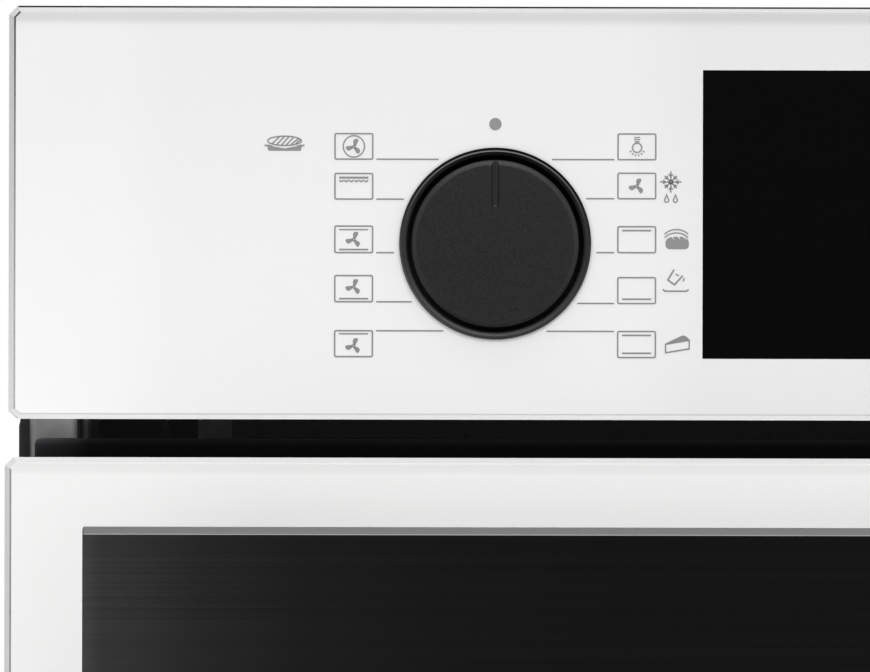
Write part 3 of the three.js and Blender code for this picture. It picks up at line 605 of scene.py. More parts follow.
class Print(Piece):
    """Flat strokes lying just in front of the glass, placed from the knob's centre."""

    def __init__(self, name, x, z, stroke=0.3):
        super().__init__(name)
        self.x = x
        self.z = z
        self.stroke = stroke
        self.front = GLASS_FRONT - 0.06
        self.back = GLASS_FRONT - 0.012

    def slab(self, outline):
        self.prism("y", [(self.x + u, self.z + v) for u, v in outline], self.front, self.back)

    def line(self, points, width=None, closed=False):
        """One mitred stroke through the points."""
        half = (width or self.stroke) / 2
        n = len(points)
        loops = []
        for i, (u, v) in enumerate(points):
            before = points[i - 1] if closed or i else (2 * u - points[1][0], 2 * v - points[1][1])
            after = points[(i + 1) % n]
            if not closed and i == n - 1:
                after = (2 * u - points[-2][0], 2 * v - points[-2][1])
            a = Vector((u - before[0], v - before[1])).normalized()
            b = Vector((after[0] - u, after[1] - v)).normalized()
            across = Vector((-a.y - b.y, a.x + b.x)).normalized()
            across *= half / max(0.4, across.dot(Vector((-a.y, a.x))))
            corners = ((1, self.front), (-1, self.front), (-1, self.back), (1, self.back))
            loops.append([(self.x + u + k * across.x, y, self.z + v + k * across.y) for k, y in corners])
        return self.loft(loops, closed=closed)

    def dot(self, u, v, r, sides=40):
        self.slab([polar(u, v, r, 2 * math.pi * i / sides) for i in range(sides)])

    def arc(self, u, v, r, start, end, steps=14, width=None):
        turns = [math.radians(start + (end - start) * i / steps) for i in range(steps + 1)]
        whole = abs(end - start) == 360
        self.line([polar(u, v, r, t) for t in (turns[:-1] if whole else turns)], width, whole)

    def fan(self, u, v):
        """Three curved blades about a small open hub."""
        size = 2.07
        self.arc(u, v, 0.3, 0, 360, 16, 0.26)
        blade = [(0.13, 0.13), (0.3, 0.29), (0.52, 0.43), (0.76, 0.43), (0.95, 0.2), (1.0, 0), (0.72, -0.12),
                 (0.45, -0.1), (0.28, -0.13), (0.13, -0.12)]
        for degrees in (58, 183, 299):
            self.slab([turned(u, v, a * size, b * size, math.radians(degrees)) for a, b in blade])


# Upper and lower line of each box, from the top box down.
LEFT_ROWS = ((26.7, 20.5), (17.0, 10.78), (4.2, -2.24), (-7.84, -14.2), (-21.25, -27.55))
RIGHT_ROWS = ((26.75, 20.5), (17.2, 11.0), (4.2, -2.12), (-8.2, -14.5), (-21.3, -27.65))
BOX_NEAR, BOX_FAR = 29.85, 39.02
LEADER_START, LEADER_RING = 28.95, 24.7
INK = 0.37


def heat_line(ink, u, v, width=0.4):
    ink.line([(u - 3.55, v), (u + 3.55, v)], width)


def mode_boxes(ink):
    """Ten boxes with a leader line from each towards the knob, and a dot above it."""
    for side, rows in ((-1, LEFT_ROWS), (1, RIGHT_ROWS)):
        for k, (top, bottom) in enumerate(rows):
            level = top if k == 4 else bottom
            reach = math.sqrt(LEADER_RING ** 2 - level ** 2)
            low, high = sorted((side * BOX_NEAR, side * BOX_FAR))
            ink.line(rounded(low, high, bottom, top, 0.35, 3), INK, closed=True)
            ink.line([(side * LEADER_START, level), (side * reach, level)], 0.36)
    ink.dot(0, 29.1, 1.5)


def lamp_symbol(ink, u, v):
    ink.arc(u, v, 1.13, 0, 360, 24, 0.34)
    for z, half in ((2.5, 0.73), (1.98, 0.73), (1.46, 0.6)):
        ink.line([(u - half, v + z), (u + half, v + z)], 0.28)
    for k in range(6):
        t = math.radians(210 + 24 * k)
        ink.line([polar(u, v, 1.6, t), polar(u, v, 2.1, t)], 0.32)


def function_print():
    ink = Print("printed_pictograms", KNOB_X, KNOB_Z)
    mode_boxes(ink)
    right = (BOX_NEAR + BOX_FAR) / 2
    left = -right
    # left column: hot air, grill, both heats with fan, bottom heat with fan, top heat with fan
    ink.arc(left, 23.6, 2.6, 0, 360, 32, 0.34)
    for level in (23.53, 0.93, -10.57, -24.93):
        ink.fan(left + 0.02, level)
    ink.line([(left - 3.55, 16.0), (left + 3.55, 16.0)], 0.5)
    for k in range(6):
        ink.arc(left - 3.0 + 1.2 * k, 15.45, 0.42, 180, 360, 6, 0.34)
    heat_line(ink, left, LEFT_ROWS[2][0] - 0.85, 0.32)
    for k in (2, 3):
        heat_line(ink, left, LEFT_ROWS[k][1] + 0.75)
    heat_line(ink, left, LEFT_ROWS[4][0] - 0.75, 0.34)
    # right column: lamp, fan only, top heat, bottom heat, both heats
    lamp_symbol(ink, right + 0.05, 23.4)
    ink.fan(right + 0.03, 14.05)
    heat_line(ink, right, RIGHT_ROWS[2][0] - 0.95)
    heat_line(ink, right, RIGHT_ROWS[3][1] + 1.05)
    heat_line(ink, right, RIGHT_ROWS[4][0] - 0.95)
    heat_line(ink, right, RIGHT_ROWS[4][1] + 1.05)
    grill_dish(ink, -51.3, 24.92)
    snowflake(ink, 42.7, 15.1)
    loaf(ink, 44.28, 0.3)
    jug(ink)
    cake(ink)
    ink.finish([PRINT], slot="white_glass", smooth=0)


def grill_dish(ink, u, v):
    """A hatched oval of food on a shallow dish."""
    half, rise = 4.1, 1.14

    def height(x):
        return rise * math.sqrt(max(0, 1 - ((x - u) / half) ** 2))

    turns = [math.pi * k / 16 for k in range(32)]
    ink.line([(u + half * math.cos(t), v + rise * math.sin(t)) for t in turns], 0.32, closed=True)
    for k in range(6):
        foot = u - 3.0 + 1.14 * k
        tip = min(foot + 1.75, u + half * 0.93)
        ink.line([(foot, v - height(foot) + 0.12), (tip, v + height(tip) - 0.12)], 0.34)
    dish = [(0, -1.82), (2.4, -1.42), (3.6, -0.97), (4.85, -0.9), (4.85, -1.3), (4.2, -1.4), (3.95, -2.42)]
    ink.slab([(u + a, v + b) for a, b in dish] + [(u - a, v + b) for a, b in dish[:0:-1]])


def snowflake(ink, u, v):
    """Eight barbed arms, with two drops below."""
    for k in range(8):
        t = math.radians(45 * k)
        reach, barb = (2.6, 1.4) if k % 2 == 0 else (2.1, 1.2)
        ink.line([polar(u, v, 0.3, t), polar(u, v, reach, t)], 0.34)
        for side in (-1, 1):
            ink.line([turned(u, v, barb, side * 0.1, t), turned(u, v, barb + 0.5, side * 0.5, t)], 0.28)
    ink.dot(u, v, 0.55, 16)
    for drop in (u - 1.0, u + 1.12):
        belly = [polar(drop, v - 4.45, 0.5, math.radians(150 + 24 * k)) for k in range(11)]
        ink.line(belly + [(drop, v - 3.15)], 0.31, closed=True)


def loaf(ink, u, v):
    """A domed loaf with slashes in its crust, and two arcs of rising warmth."""
    half, spring, rise, bend = 2.86, v - 0.25, 1.75, 0.75
    crown = []
    for k in range(25):
        t = math.pi * k / 24
        crown.append((u + half * math.copysign(abs(math.cos(t)) ** bend, math.cos(t)),
                      spring + rise * math.sin(t) ** bend))
    for start in (1.37, 0.07, -1.43):
        crown = [p for p in crown if not start - 0.05 < p[0] - u < start + 0.45]
        top = spring + rise * 0.96
        notch = [(u + start + 0.42, top), (u + start + 0.85, top - 0.9), (u + start, top)]
        spot = next(k for k, p in enumerate(crown) if p[0] - u < start)
        crown[spot:spot] = notch
    foot = rounded(u - half, u + half, v - 1.54, v + 1, 1.0, 5)[12:]
    ink.slab(crown + foot)
    for k in range(2):
        ink.arc(u - 0.2, v - 0.93 - 0.85 * k, 4.18, 46.6, 133.4, 14, 0.32)


def jug(ink):
    ink.line([(43.55, -6.2), (42.05, -8.75), (43.65, -9.9), (45.65, -7.7)], 0.42)
    ink.line([(43.9, -7.35), (44.75, -7.7)], 0.36)
    ink.line([(45.95, -8.3), (45.8, -9.1)], 0.36)
    ink.line([(40.8, -11.05), (41.35, -11.47), (46.6, -11.47), (47.1, -11.05)], 0.38)


def cake(ink):
    ink.line([(41.5, -24.4), (47.25, -23.4), (47.25, -25.5), (41.5, -26.45)], 0.34, closed=True)
    ink.slab([(41.5, -24.2), (45.5, -22.25), (46.2, -22.3), (46.8, -22.7), (47.3, -23.2)])


def temperature_print():
    """A scale round the right-hand knob: a dot at the top and a stepped arc of ticks."""
    ink = Print("printed_scale", -KNOB_X, KNOB_Z)
    ink.dot(0, 29.1, 1.45)
    first, sweep, ticks = 37.5, 225, 12
    for k in range(ticks):
        t = math.radians(90 - first - 20.45 * k)
        ink.line([polar(0, 0, 26.2, t), polar(0, 0, 29.6 if k % 2 == 0 else 28.2, t)], 0.34)
    ink.arc(0, 0, LEADER_RING, 90 - first, 90 - first - sweep, 90, 0.26)
    ink.finish([PRINT], slot="white_glass", smooth=0)


function_print()
temperature_print()


# ---------------------------------------------------------------- knobs

def knob(side, x):
    """A concave ring with a polished lip, and a flat cap with a sunk mark above its middle."""
    body = f"{side}_knob"
    face = edges(body)[0][1]
    low = edges(f"{side}_bezel")[0]
    lip, outer = low[1], x - low[0]
    seat, bore, wall = -22.3, 21.4, 22.0
    profile = [(bore, lip + 2.4), (bore, lip + 0.55), (bore + 0.1, lip + 0.42), (outer - 0.92, lip + 0.03),
               (outer - 0.82, lip), (outer - 0.58, lip), (outer - 0.12, lip + 0.06), (outer, lip + 0.16),
               (outer, seat), (wall, seat), (wall, 2), (7.6, 2), (7.6, 0.6), (bore, 0.6)]
    ring = Piece(f"{side}_ring").lathe("y", profile, x, KNOB_Z, 144, bands=(3, 4))
    ring.finish([RING, LIP], replaces=f"{side}_bezel", slot="dark_aluminium", smooth=20)

    r, stem, back = 20.4, 6, -21.5
    profile = [(0, face), (r - 1.5, face), (r - 1.2, face + 0.05), (r - 0.32, face + 0.5),
               (r - 0.1, face + 0.78), (r, face + 1.1), (r, -3.3), (r - 0.3, -3), (r - 1.8, -3),
               (r - 1.8, back), (stem, back), (stem, 2.7), (stem - 0.3, 3), (0, 3)]
    cap = Piece(f"{side}_knob_cap").lathe("y", profile, x, KNOB_Z, 144)
    low, width, depth = KNOB_Z + 9.6, 0.9, 0.62
    turns = [math.pi * k / 16 for k in range(9)]
    mark = [(width * math.sin(t), low - width * math.cos(t)) for t in turns]
    mark += [(width, KNOB_Z + 25), (0, KNOB_Z + 25)]
    cap.cut([Piece("tool").lathe("z", mark, x, face + depth - width, 48)])
    cap.finish([DISC], body=body, replaces=body, slot="dark_aluminium", smooth=30)


knob("function", KNOB_X)
knob("temperature", -KNOB_X)


# ---------------------------------------------------------------- door

def door_glass():
    piece = pane("door_glass_face", "door_outer_glass", 0.22, window=(215, 95, 408))
    piece.finish([DOOR_WHITE] + GROUND + [TINTED], body="door", replaces="door_outer_glass",
                 slot="white_glass", smooth=0)


def handle():
    """A flat bar, hollow behind, with a cut edge and a bright arris along its top and bottom."""
    (x0, y0, z0), (x1, y1, z1) = edges("door_handle")
    chamfer, arris, fine = 1.6, 0.26, 0.4
    section = [(y0, z0 + chamfer + arris), (y0 + arris * 0.4, z0 + chamfer), (y0 + chamfer, z0),
               (y1 - fine, z0), (y1, z0 + fine), (y1, z0 + 8), (y1 - 4, z0 + 11), (y1 - 4, z1 - 11),
               (y1, z1 - 8), (y1, z1 - fine), (y1 - fine, z1), (y0 + chamfer, z1),
               (y0 + arris * 0.4, z1 - chamfer), (y0, z1 - chamfer - arris)]
    looks = {0: 2, 1: 1, len(section) - 3: 1, len(section) - 2: 2}
    end = 0.3
    _, mid_y, mid_z = middle("door_handle")
    loops = []
    for x, shrink in ((x0, end), (x0 + end, 0), (x1 - end, 0), (x1, end)):
        loops.append([(x, y + (shrink if y < mid_y else -shrink), z + (shrink if z < mid_z else -shrink))
                      for y, z in section])
    bar = Piece("handle_bar").loft(loops, lambda band, side: looks.get(side, 0))
    bar.finish([BAR, CUT, ARRIS], body="door", replaces="door_handle", slot="dark_aluminium", smooth=0)
    for side in ("left", "right"):
        (a, b, c), (d, e, f) = edges(f"handle_standoff_{side}")
        stem = Piece(f"handle_stem_{side}")
        stem.box((a + 4, d - 4), (b, e - 2.9), (c + 3, f - 3), 0.8, 3)
        stem.box((a, d), (e - 3.1, e), (c, f), 0.8, 3)
        stem.finish([BAR], body="door", replaces=f"handle_standoff_{side}", slot="dark_aluminium")


door_glass()
handle()


# ---------------------------------------------------------------- door, behind the front glass

def glazed(name, node, frame_width, materials):
    """A toughened pane with ground edges and a printed band round a clear middle."""
    (_, y0, _), (_, y1, _) = box = edges(node)
    loops = front_loops(box, 5, [(y0, frame_width, 8), (y0, 0.7, 5), (y0 + 0.7, 0, 5.5),
                                 (y1 - 0.7, 0, 5.5), (y1, 0.7, 5), (y1, frame_width, 8)])
    piece = Piece(name).loft(loops, lambda band, side: (1, 2, 2, 2, 1)[band])
    piece.finish(materials, body="door", replaces=node, slot="clear_glass", smooth=20)


def door_structure():
    glazed("middle_pane", "door_middle_glass", 9, [PANE, GLASS_EDGE, GLASS_EDGE])
    glazed("inner_pane", "door_inner_glass", 26, [PANE, FRIT, GLASS_EDGE])
    screws = []
    for side, name in ((-1, "left"), (1, "right")):
        (x0, _, z0), (x1, y1, z1) = edges(f"door_side_profile_{name}")
        column = (x0 + x1) / 2 + side * 2
        screws += [(column, y1, z0 + 40), (column, y1, (z0 + z1) / 2), (column, y1, z1 - 40)]
    screw_heads("door_screws", screws, "+y", 3.2, "door")


# ---------------------------------------------------------------- fasteners and pressed sheet

HEADINGS = {"+x": (0, math.pi / 2, 0), "-x": (0, -math.pi / 2, 0), "+y": (-math.pi / 2, 0, 0),
            "-y": (math.pi / 2, 0, 0), "+z": (0, 0, 0), "-z": (math.pi, 0, 0)}


def screw_heads(name, places, heading, radius, body=BODY):
    """Pan-head screws with a cross recess, all made from one head."""
    h = radius * 0.62
    profile = [(0, 0), (1.25, 0), (1.25, 0.16), (1.15, 0.2), (1, 0.22), (1, 0.35), (0.93, 0.62), (0.72, 0.88),
               (0.4, 1), (0, 1)]
    head = Piece("head").lathe("z", [(radius * a, h * b) for a, b in profile], 0, 0, 24)
    arm, thick = radius * 0.62, radius * 0.13
    cross = [(-arm, -thick), (-thick, -thick), (-thick, -arm), (thick, -arm), (thick, -thick), (arm, -thick),
             (arm, thick), (thick, thick), (thick, arm), (-thick, arm), (-thick, thick), (-arm, thick)]
    head.cut([Piece("tool").prism("z", cross, h * 0.5, h * 1.5)])
    tip = Euler(HEADINGS[heading]).to_matrix().to_4x4()
    home = Matrix.Translation(-at(0, 0, 0))
    piece = Piece(name)
    for k, place in enumerate(places):
        spin = Matrix.Rotation(0.7 + 1.3 * k, 4, "Z")
        piece.add(head.bm, Matrix.Translation(at(*place)) @ tip @ spin @ home)
    piece.finish([SCREW], body=body, slot="bright_steel")


def beads(name, axis, shapes, level, outward, rise=1.6):
    """Pressed swages standing proud of a panel. Shapes are (u0, u1, v0, v1) on the panel's plane."""
    arc = [math.pi / 2 * step / 5 for step in range(6)]
    stations = [(0, -0.3)] + [(3.2 * (1 - math.cos(t)), rise * math.sin(t)) for t in arc]
    piece = Piece(name)
    for u0, u1, v0, v1 in shapes:
        piece.loft([[facing(axis, u, v, level + outward * height)
                     for u, v in stadium(u0 + inset, u1 - inset, v0 + inset, v1 - inset)]
                    for inset, height in stations])
    piece.finish([ZINC], slot="zinc_coated_steel", smooth=30)


def housing_details():
    (_, y0, z0), (x1, y1, z1) = edges("side_panel_right")
    for side, name in ((-1, "left"), (1, "right")):
        outside = side * x1
        swages = [(y0 + 46, y1 - 60, z0 + rise, z0 + rise + 14) for rise in (118, 268, 418)]
        beads(f"{name}_side_swages", "x", swages, outside, side)
        rows = [z0 + 20, z0 + 190, z0 + 350, z1 - 22]
        screw_heads(f"{name}_side_screws", [(outside, y, z) for y in (y0 + 10, y1 - 8) for z in rows],
                    "+x" if side > 0 else "-x", 3.4)
    (_, front, _), (_, rear, top) = edges("top_panel")
    swages = [(a, a + 80, front + 60, rear - 60) for a in (-230, 150)]
    beads("top_swages", "z", swages, top, 1, 1.2)
    places = [(x, y, top) for x in (-262, 0, 262) for y in (front + 12, rear - 10)]
    screw_heads("top_screws", places, "+z", 3.4)
    back = edges("rear_panel")[1][1]
    swages = [(a, b, low, low + 14) for a, b, lows in ((-90, 90, (60, 110)), (-230, -110, (380, 430)))
              for low in lows]
    beads("rear_swages", "y", swages, back, 1, 1.4)
    places = [(x, back, z) for x in (-266, -90, 90, 266) for z in (12, z1 - 6)]
    places += [(x, back, z) for x in (-266, 266) for z in (150, 300, 450)]
    screw_heads("rear_screws", places, "+y", 3.4)


def connection_box():
    """Ribbed lid over the mains terminals, with its gland below."""
    (x0, y0, z0), (x1, y1, z1) = box = edges("terminal_box")
    groove = y1 - 5
    cover = Piece("terminal_cover")
    cover.loft(front_loops(box, 6, [(y, inset, 5) for y, inset in
                                    ((y0, 0), (groove, 0), (groove, 0.35), (groove + 0.6, 0.35),
                                     (groove + 0.6, 0), (y1 - 3, 0), (y1 - 0.9, 0.9), (y1, 3))]))
    tools = []
    for k in range(7):
        a = x0 + 14 + 8.6 * k
        tools.append(Piece("tool").prism("y", stadium(a, a + 3, z0 + 20, z1 - 12, 5), y1 - 1.4, y1 + 3))
    gland_x, gland_y, _ = middle("cable_gland")
    tools.append(rod(gland_x, gland_y, 5.2, z0 - 5, z0 + 9, "z"))
    sunk = 2.2
    screws = [(x, z0 + 8) for x in (x0 + 7, x1 - 7)]
    tools += [rod(x, z, 3.6, y1 - sunk, y1 + 3) for x, z in screws]
    cover.cut(tools)
    cover.finish([BLACK_PLASTIC], replaces="terminal_box", slot="black_plastic", smooth=30)
    screw_heads("terminal_screws", [(x, y1 - sunk, z) for x, z in screws], "+y", 2.6)

    low, high = edges("cable_gland")[0][2], edges("cable_gland")[1][2]
    dome = [(3.4, low), (4.9, low), (5.6, low + 0.8), (6.3, low + 2.6), (6.4, low + 4), (6.4, low + 15),
            (6.0, low + 15.4), (6.0, z0 - 3.4), (4.9, z0 - 3.4), (4.9, high), (3.4, high)]
    gland = Piece("gland").lathe("z", dome, gland_x, gland_y, 48)
    for a, b, r in ((low + 4.5, low + 14, 6.7), (z0 - 7.6, z0 - 0.4, 7.0)):
        nut = [polar(gland_x, gland_y, r, math.pi * k / 3) for k in range(6)]
        collar = Piece("collar").prism("z", nut, a, b, 0.6)
        gland.add(collar.cut([rod(gland_x, gland_y, 4.95, a - 2, b + 2, "z")]).bm)
    gland.finish([BLACK_PLASTIC], replaces="cable_gland", slot="black_plastic", smooth=30)


# ---------------------------------------------------------------- inside the oven

CAVITY_HALF = 235.0
CAVITY_LOW, CAVITY_HIGH = 85.0, 435.0
CAVITY_REAR = 455.0
FAN_Z = 260.0


def liner():
    """Enamelled tub with a radiused mouth, and the flat frame in front of it."""
    (_, y0, _), _ = frame_box = edges("cavity_liner")
    tub = ((-CAVITY_HALF, 0, CAVITY_LOW), (CAVITY_HALF, 0, CAVITY_HIGH))
    wall = 1.2
    loops = front_loops(tub, 10, [(CAVITY_REAR, 0, 12), (y0 + 3, 0, 12), (y0 + 0.9, -0.9, 12.9),
                                  (y0, -3, 15)])
    loops += front_loops(frame_box, 10, [(y0, 0.6, 3), (y0 + 0.6, 0, 3), (y0 + 1.5, 0, 3)])
    loops += front_loops(tub, 10, [(y0 + 1.5, -wall - 2, 15), (y0 + 3.5, -wall, 12 + wall),
                                   (CAVITY_REAR + wall, -wall, 12 + wall)])
    piece = Piece("oven_tub").loft(loops)
    lamp_x, _, lamp_z = middle("lamp_lens")
    holes = [(0, FAN_Z, 7), (lamp_x, lamp_z, 20.3)] + [(x, 418, 4.2) for x in (-26, 26)]
    holes += [(x, FAN_Z + 99, 4) for x in (-12, 12)]
    tools = [rod(x, z, r, CAVITY_REAR - 15, CAVITY_REAR + 15) for x, z, r in holes]
    for side in ("left", "right"):
        (a, _, _), (b, _, _) = edges(f"hinge_channel_{side}")
        tools.append(Piece("tool").box((a - 1.2, b + 1.2), (5, 30), (11.4, 40.6)))
    piece.cut(tools)
    piece.finish([ENAMEL], replaces="cavity_liner", slot="enamel", smooth=30)
    places = [(x, y0, z) for x in (-262, 262) for z in (70, 200, 330, 462)]
    screw_heads("frame_screws", places + [(x, y0, 464) for x in (-120, 120)], "-y", 3.2)


def gasket():
    """Knitted tube seal round the mouth of the oven."""
    (x0, y0, z0), (x1, y1, z1) = edges("door_gasket")
    r = (y1 - y0) / 2 - 0.1
    line = [(x, (y0 + y1) / 2, z) for x, z in rounded(x0 + r, x1 - r, z0 + r, z1 - r, 17, 10)]
    piece = Piece("seal").tube(line, r, 18, closed=True)
    piece.finish([GASKET], replaces="door_gasket", slot="rubber")


def heaters():
    """Grill bar in the roof, with its flange and hangers."""
    z = middle("grill_element")[2]
    half = [(26, 505), (26, 440), (26, 425), (60, 405), (170, 405), (205, 380), (205, 90), (185, 65),
            (150, 65), (130, 90), (130, 340), (105, 365), (75, 365), (55, 340), (55, 90), (35, 65)]
    route = [(-x, y, z) for x, y in half] + [(x, y, z) for x, y in reversed(half)]
    bar = Piece("grill_bar").tube(curve_through(route, 4), 3.2)
    bar.finish([SHEATH], replaces="grill_element", slot="dark_steel")
    front = CAVITY_REAR - 2.4
    plate = Piece("grill_flange").prism("y", rounded(-42, 42, 409, 427, 4, 5), front, front + 2, 0.4)
    for x in (-130, 130):
        plate.prism("z", rounded(x - 5, x + 5, 198, 204, 1, 3), z + 3.4, CAVITY_HIGH - 0.2, 0.3)
        plate.prism("z", rounded(x - 9, x + 9, 194, 208, 2, 3), z + 3.3, z + 4.3, 0.3)
    plate.finish([STEEL], slot="bright_steel")
    screw_heads("grill_screws", [(x, front, 418) for x in (-36, 36)], "-y", 2.6)


def baffle():
    """Pressed cover in front of the hot-air fan."""
    (x0, y0, z0), (x1, y1, z1) = box = edges("convection_baffle")
    cover = Piece("fan_cover")
    cover.loft(front_loops(box, 8, [(y1, 0, 14), (y0 + 6, 0, 14), (y0 + 1.8, 1.7, 12.4), (y0, 6, 9),
                                    (y0, 20, 6)]))
    hollow = front_loops(box, 8, [(y1 + 3, 1.2, 12.8), (y0 + 6.4, 1.2, 12.8), (y0 + 3, 2.9, 11.4),
                                  (y0 + 1.2, 7, 8.6)])
    intakes = [(0, FAN_Z)] + [polar(0, FAN_Z, 42, math.pi / 4 * k) for k in range(8)]
    tools = [Piece("tool").loft(hollow)] + [rod(x, z, 13, y0 - 4, y0 + 6) for x, z in intakes]
    for z in (150, 205, 315, 370):
        outlet = stadium(418, 446, z - 9, z + 9, 6)
        tools += [Piece("tool").prism("x", outlet, low, high) for low, high in ((-175, -145), (145, 175))]
    cover.cut(tools)
    swage = [(-1.6, y0 + 0.2), (-1, y0 - 0.5), (0, y0 - 0.8), (1, y0 - 0.5), (1.6, y0 + 0.2)]
    for r in (62, 68):
        cover.lathe("y", [(r + across, y) for across, y in swage], 0, FAN_Z)
    cover.finish([ENAMEL], replaces="convection_baffle", slot="enamel", smooth=30)
    screws = [(x, y0, z) for x in (x0 + 16, x1 - 16) for z in (z0 + 16, z1 - 16)]
    screw_heads("cover_screws", screws, "-y", 3.4)


def hot_air_fan():
    """A round back plate on a hub, with twelve blades that lean over towards their tips."""
    rear = edges("convection_fan")[1][1]
    root, length, half_thick, lean = 12, 58, 0.45, 0.35
    wheel = Piece("fan_wheel")
    wheel.lathe("y", [(0, 414), (6, 414), (7, 415), (7, 417), (11, 418), (11, 438), (20, 439), (74, 439),
                      (74, 440.4), (11, 440.4), (4, 441.5), (4, rear), (0, rear)], 0, FAN_Z, 64)
    out = [step / 6 for step in range(7)]
    outline = [(share, half_thick) for share in out] + [(share, -half_thick) for share in reversed(out)]
    for k in range(12):
        wheel.prism("y", [turned(0, FAN_Z, root + length * share, side, math.pi / 6 * k + lean * share ** 2)
                          for share, side in outline], 416, 439.3)
    wheel.finish([STEEL], body="convection_fan", replaces="convection_fan", slot="bright_steel")


def oven_lamp():
    """A thin domed glass with a flange, and the bulb behind it."""
    x, _, z = middle("lamp_lens")
    turns = [math.pi / 16 * k for k in range(8)]
    dome = [(21.5, 454.5), (21.5, 451.3), (20.9, 450.7), (18.6, 450.2)]
    dome += [(18.2 * math.cos(t), 450 - 9.8 * math.sin(t)) for t in turns]
    dome += [(0, 440.2), (0, 442.6)]
    dome += [(15.9 * math.cos(t), 450.4 - 7.8 * math.sin(t)) for t in reversed(turns)]
    cover = Piece("lamp_cover").lathe("y", dome + [(17, 454.5)], x, z, 48)
    cover.finish([WARM_GLASS], replaces="lamp_lens", slot="clear_glass")
    turns = [math.pi / 10 * k for k in range(1, 8)]
    glass = [(0, 452)] + [(7.5 * math.sin(t), 459.5 - 7.5 * math.cos(t)) for t in turns]
    bulb = Piece("lamp_bulb").lathe("y", glass + [(5, 470), (5, 489), (0, 489)], x, z, 32)
    bulb.finish([BULB], slot="clear_glass")


def racks():
    """Side ladders: each level is one bent wire, closed at the rear as a stop."""
    front, low, high, bend_y, r = 31, 109, 395, 400, 8.5
    turns = [math.pi * k / 10 for k in range(11)]
    for side, name in ((-1, "left"), (1, "right")):
        rail, post = side * 224.4, side * 229.0
        piece = Piece(f"{name}_ladder")
        for z in (125, 185, 245, 305, 365):
            bend = [(rail, bend_y + r * math.sin(t), z + r - r * math.cos(t)) for t in turns]
            piece.tube([(rail, front, z)] + bend + [(rail, front, z + 2 * r)], 2.45)
        stud = [(0, side * 227.4), (3.2, side * 227.8), (3.6, post), (3.6, side * 233.6),
                (5.6, side * 233.9), (5.6, side * 234.6), (0, side * 234.6)]
        for y in (60, 370):
            piece.tube([(post, y, low), (post, y, high)], 2.45)
            for z in (low + 3, high - 3):
                piece.lathe("x", stud, y, z, 24)
        piece.finish([CHROME], replaces=f"ladder_rack_{name}", slot="chrome")


def shelf():
    """Wire grid: a heavy frame, two bars under it and the fine bars that carry the food."""
    (x0, y0, _), (x1, y1, z1) = edges("wire_shelf")
    r = 3.0
    z = z1 - r
    grid = Piece("grid")
    around = rounded(x0 + r, x1 - r, y0 + r, y1 - r, 9, 6)
    grid.tube([(x, y, z) for x, y in around], r - 0.05, closed=True)
    for x in (-110, 110):
        grid.tube([(x, y0 + r, z - 3.6), (x, y1 - r, z - 3.6)], 2.3, 12)
    step = 14.5
    for k in range(1, int((y1 - y0 - 2 * r) / step) + 1):
        y = y0 + r + k * step
        if y < y1 - 2 * r:
            grid.tube([(x0 + r, y, z), (x1 - r, y, z)], 1.65, 10)
    grid.finish([CHROME], body="wire_shelf", replaces="wire_shelf", slot="chrome")


def tray():
    """Deep-drawn pan with a rolled lip and filleted corners."""
    (x0, y0, z0), (x1, y1, z1) = edges("baking_tray")
    section = [(20, z0, 8), (11.5, z0, 9), (8.8, z0 + 0.9, 11), (7.7, z0 + 3, 12), (7.6, z1 - 3, 12.4),
               (6.6, z1 - 1.4, 13), (0.5, z1 - 1.4, 10), (0, z1 - 0.8, 10), (0.4, z1 - 0.2, 10),
               (1.2, z1, 10), (7.2, z1, 12.5), (8.4, z1 - 0.6, 12), (9, z1 - 2.4, 11), (9.2, z0 + 5, 11),
               (10, z0 + 2.8, 10), (13, z0 + 1.5, 8), (20, z0 + 1.4, 8)]
    loops = []
    for inset, level, r in section:
        lip = inset * 0.6
        loops.append([(x, y, level) for x, y in rounded(x0 + inset, x1 - inset, y0 + lip, y1 - lip, r)])
    pan = Piece("pan").loft(loops)
    pan.finish([ENAMEL], body="baking_tray", replaces="baking_tray", slot="enamel", smooth=30)


def side_trims():
    """Edge trims that close over the posts' outer edges."""
    glass_low = edges("control_glass")[0][2]
    for side, name in ((-1, "left"), (1, "right")):
        (x0, y0, z0), (x1, y1, z1) = edges(f"side_trim_{name}")
        outer, inner = (x0, x1) if side < 0 else (x1, x0)
        root = inner - side * 0.28
        stations = ((z0, 0.6), (z0 + 0.6, 0), (glass_low - 1.9, 0), (glass_low + 0.3, 0.45), (z1, 0.45))
        loops = []
        for z, narrow in stations:
            edge = outer - side * narrow
            outline = [(root, y0), (edge - side * 0.9, y0), (edge - side * 0.3, y0 + 0.25), (edge, y0 + 0.9),
                       (edge, y1 - 0.5), (edge - side * 0.5, y1), (root, y1)]
            loops.append([(x, y, z) for x, y in outline])
        trim = Piece(f"{name}_edge_trim").loft(loops)
        trim.finish([RUBBER], replaces=f"side_trim_{name}", slot="rubber")


door_structure()
housing_details()
connection_box()
liner()
gasket()
heaters()
baffle()
hot_air_fan()
oven_lamp()
racks()
shelf()
tray()
side_trims()


# ---------------------------------------------------------------- materials of the CAD nodes

def pair(name):
    return [f"{name}_left", f"{name}_right"]


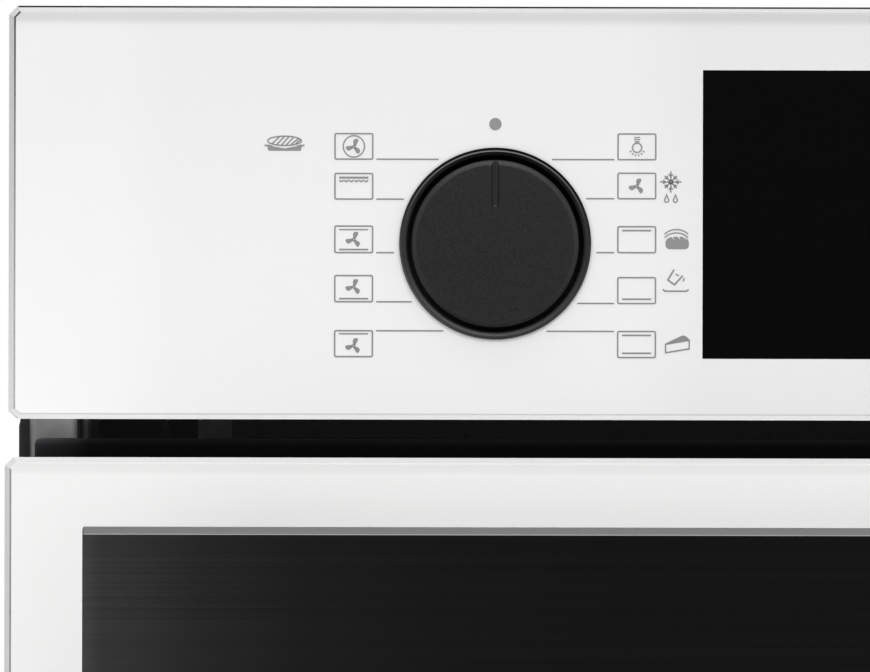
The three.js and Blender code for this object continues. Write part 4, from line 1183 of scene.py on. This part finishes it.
LOOKS = {
    BLACK_GLASS: ["display_lens"],
    ALUMINIUM: pair("door_side_profile") + ["door_bottom_rail"],
    CAP_PAINT: ["door_top_trim"],
    VENT: ["air_outlet"],
    DUCT: ["cooling_fan_scroll"],
    BLACK_PAINT: pair("hinge_damper"),
    BLACK_PLASTIC: ["cooling_fan_impeller", "function_switch", "temperature_switch"],
    GREY_PLASTIC: ["fascia_carrier"],
    POST: pair("front_post"),
    ZINC: pair("side_panel") + ["top_panel", "base_panel", "rear_panel", "cooling_fan_motor",
                                "convection_motor", "function_spindle", "temperature_spindle"]
    + pair("hinge_channel") + pair("hinge_arm"),
    STEEL: ["lamp_housing"] + pair("hinge_link"),
    SHEATH: ["bottom_element", "ring_element"],
    WOOL: ["insulation_blanket"],
    BOARD: ["display_board"],
}
for look, names in LOOKS.items():
    for name in names:
        mesh = frame["nodes"][name].data
        mesh.materials.clear()
        mesh.materials.append(look)


# ---------------------------------------------------------------- stage, light, camera

def stage():
    pale = surface("pale floor", (0.8, 0.8, 0.8), 0.6, grain=40, tint=0.01, bump=0)
    for piece in (Piece("floor").box((-9000, 9000), (-9000, 9000), (-140, -120)),
                  Piece("plinth").box((-278, 278), (30, 529), (-120, -0.2), 2)):
        obj = piece.mesh_object()
        obj.data.materials.append(pale)


def world():
    """White to the camera. To the oven it is bright above, dim about the horizon and grey below."""
    sky = bpy.data.worlds.new("studio")
    bpy.context.scene.world = sky
    sky.use_nodes = True
    tree = sky.node_tree
    tree.nodes.clear()
    way = add_node(tree, "TexCoord", {}).outputs["Generated"]
    height = add_node(tree, "SeparateXYZ", {"Vector": way}).outputs["Z"]
    level = add_node(tree, "MapRange", {"Value": height, "From Min": -1})
    ramp = add_node(tree, "ValToRGB", {"Fac": level.outputs["Result"]})
    bands = ramp.color_ramp.elements
    for position, grey in ((0.4, 0.16), (0.52, 0.16), (0.75, 0.8)):
        bands.new(position).color = (grey, grey, grey, 1)
    bands[0].color = (0.5, 0.5, 0.5, 1)
    bands[-1].color = (1, 1, 1, 1)
    lit = add_node(tree, "Background", {"Color": ramp.outputs["Color"], "Strength": 1.08})
    seen = add_node(tree, "Background", {"Color": (1, 1, 1, 1)})
    camera_ray = add_node(tree, "LightPath", {}).outputs["Is Camera Ray"]
    mix = add_node(tree, "MixShader", {0: camera_ray, 1: lit.outputs["Background"],
                                       2: seen.outputs["Background"]})
    add_node(tree, "OutputWorld", {"Surface": mix.outputs["Shader"]})


def lamp(name, place, target, size, watts):
    light = bpy.data.lights.new(name, "AREA")
    light.shape = "RECTANGLE"
    light.size, light.size_y = size
    light.energy = watts
    obj = bpy.data.objects.new(name, light)
    bpy.context.scene.collection.objects.link(obj)
    obj.location = place
    obj.rotation_euler = (Vector(target) - Vector(place)).to_track_quat("-Z", "Y").to_euler()


def camera():
    """Straight at the top left corner of the front, from well back, turned by a hair."""
    distance = 4.0
    width = 211.7
    roll = -0.12
    aim = at(-192.7, GLASS_FRONT, 514.8)
    data = bpy.data.cameras.new("camera")
    data.sensor_width = 36
    data.lens = data.sensor_width * distance / (width * MM)
    data.clip_end = 500
    obj = bpy.data.objects.new("camera", data)
    bpy.context.scene.collection.objects.link(obj)
    obj.location = aim + Vector((0, -distance, 0))
    obj.rotation_euler = (math.pi / 2, math.radians(roll), 0)
    bpy.context.scene.camera = obj


stage()
world()
lamp("top softbox", (-0.1, -1.3, 2.3), (0, -0.2, 0.35), (2.4, 1.6), 34)
lamp("left softbox", (-2.4, -1.6, 1.0), (0, -0.2, 0.4), (1.4, 1.8), 13)
lamp("right softbox", (2.4, -1.6, 1.0), (0, -0.2, 0.4), (1.4, 1.8), 18)
lamp("rear softbox", (0.6, 2.4, 1.8), (0, 0.2, 0.3), (2.0, 1.6), 50)
camera()
bpy.context.scene.view_settings.view_transform = "Standard"
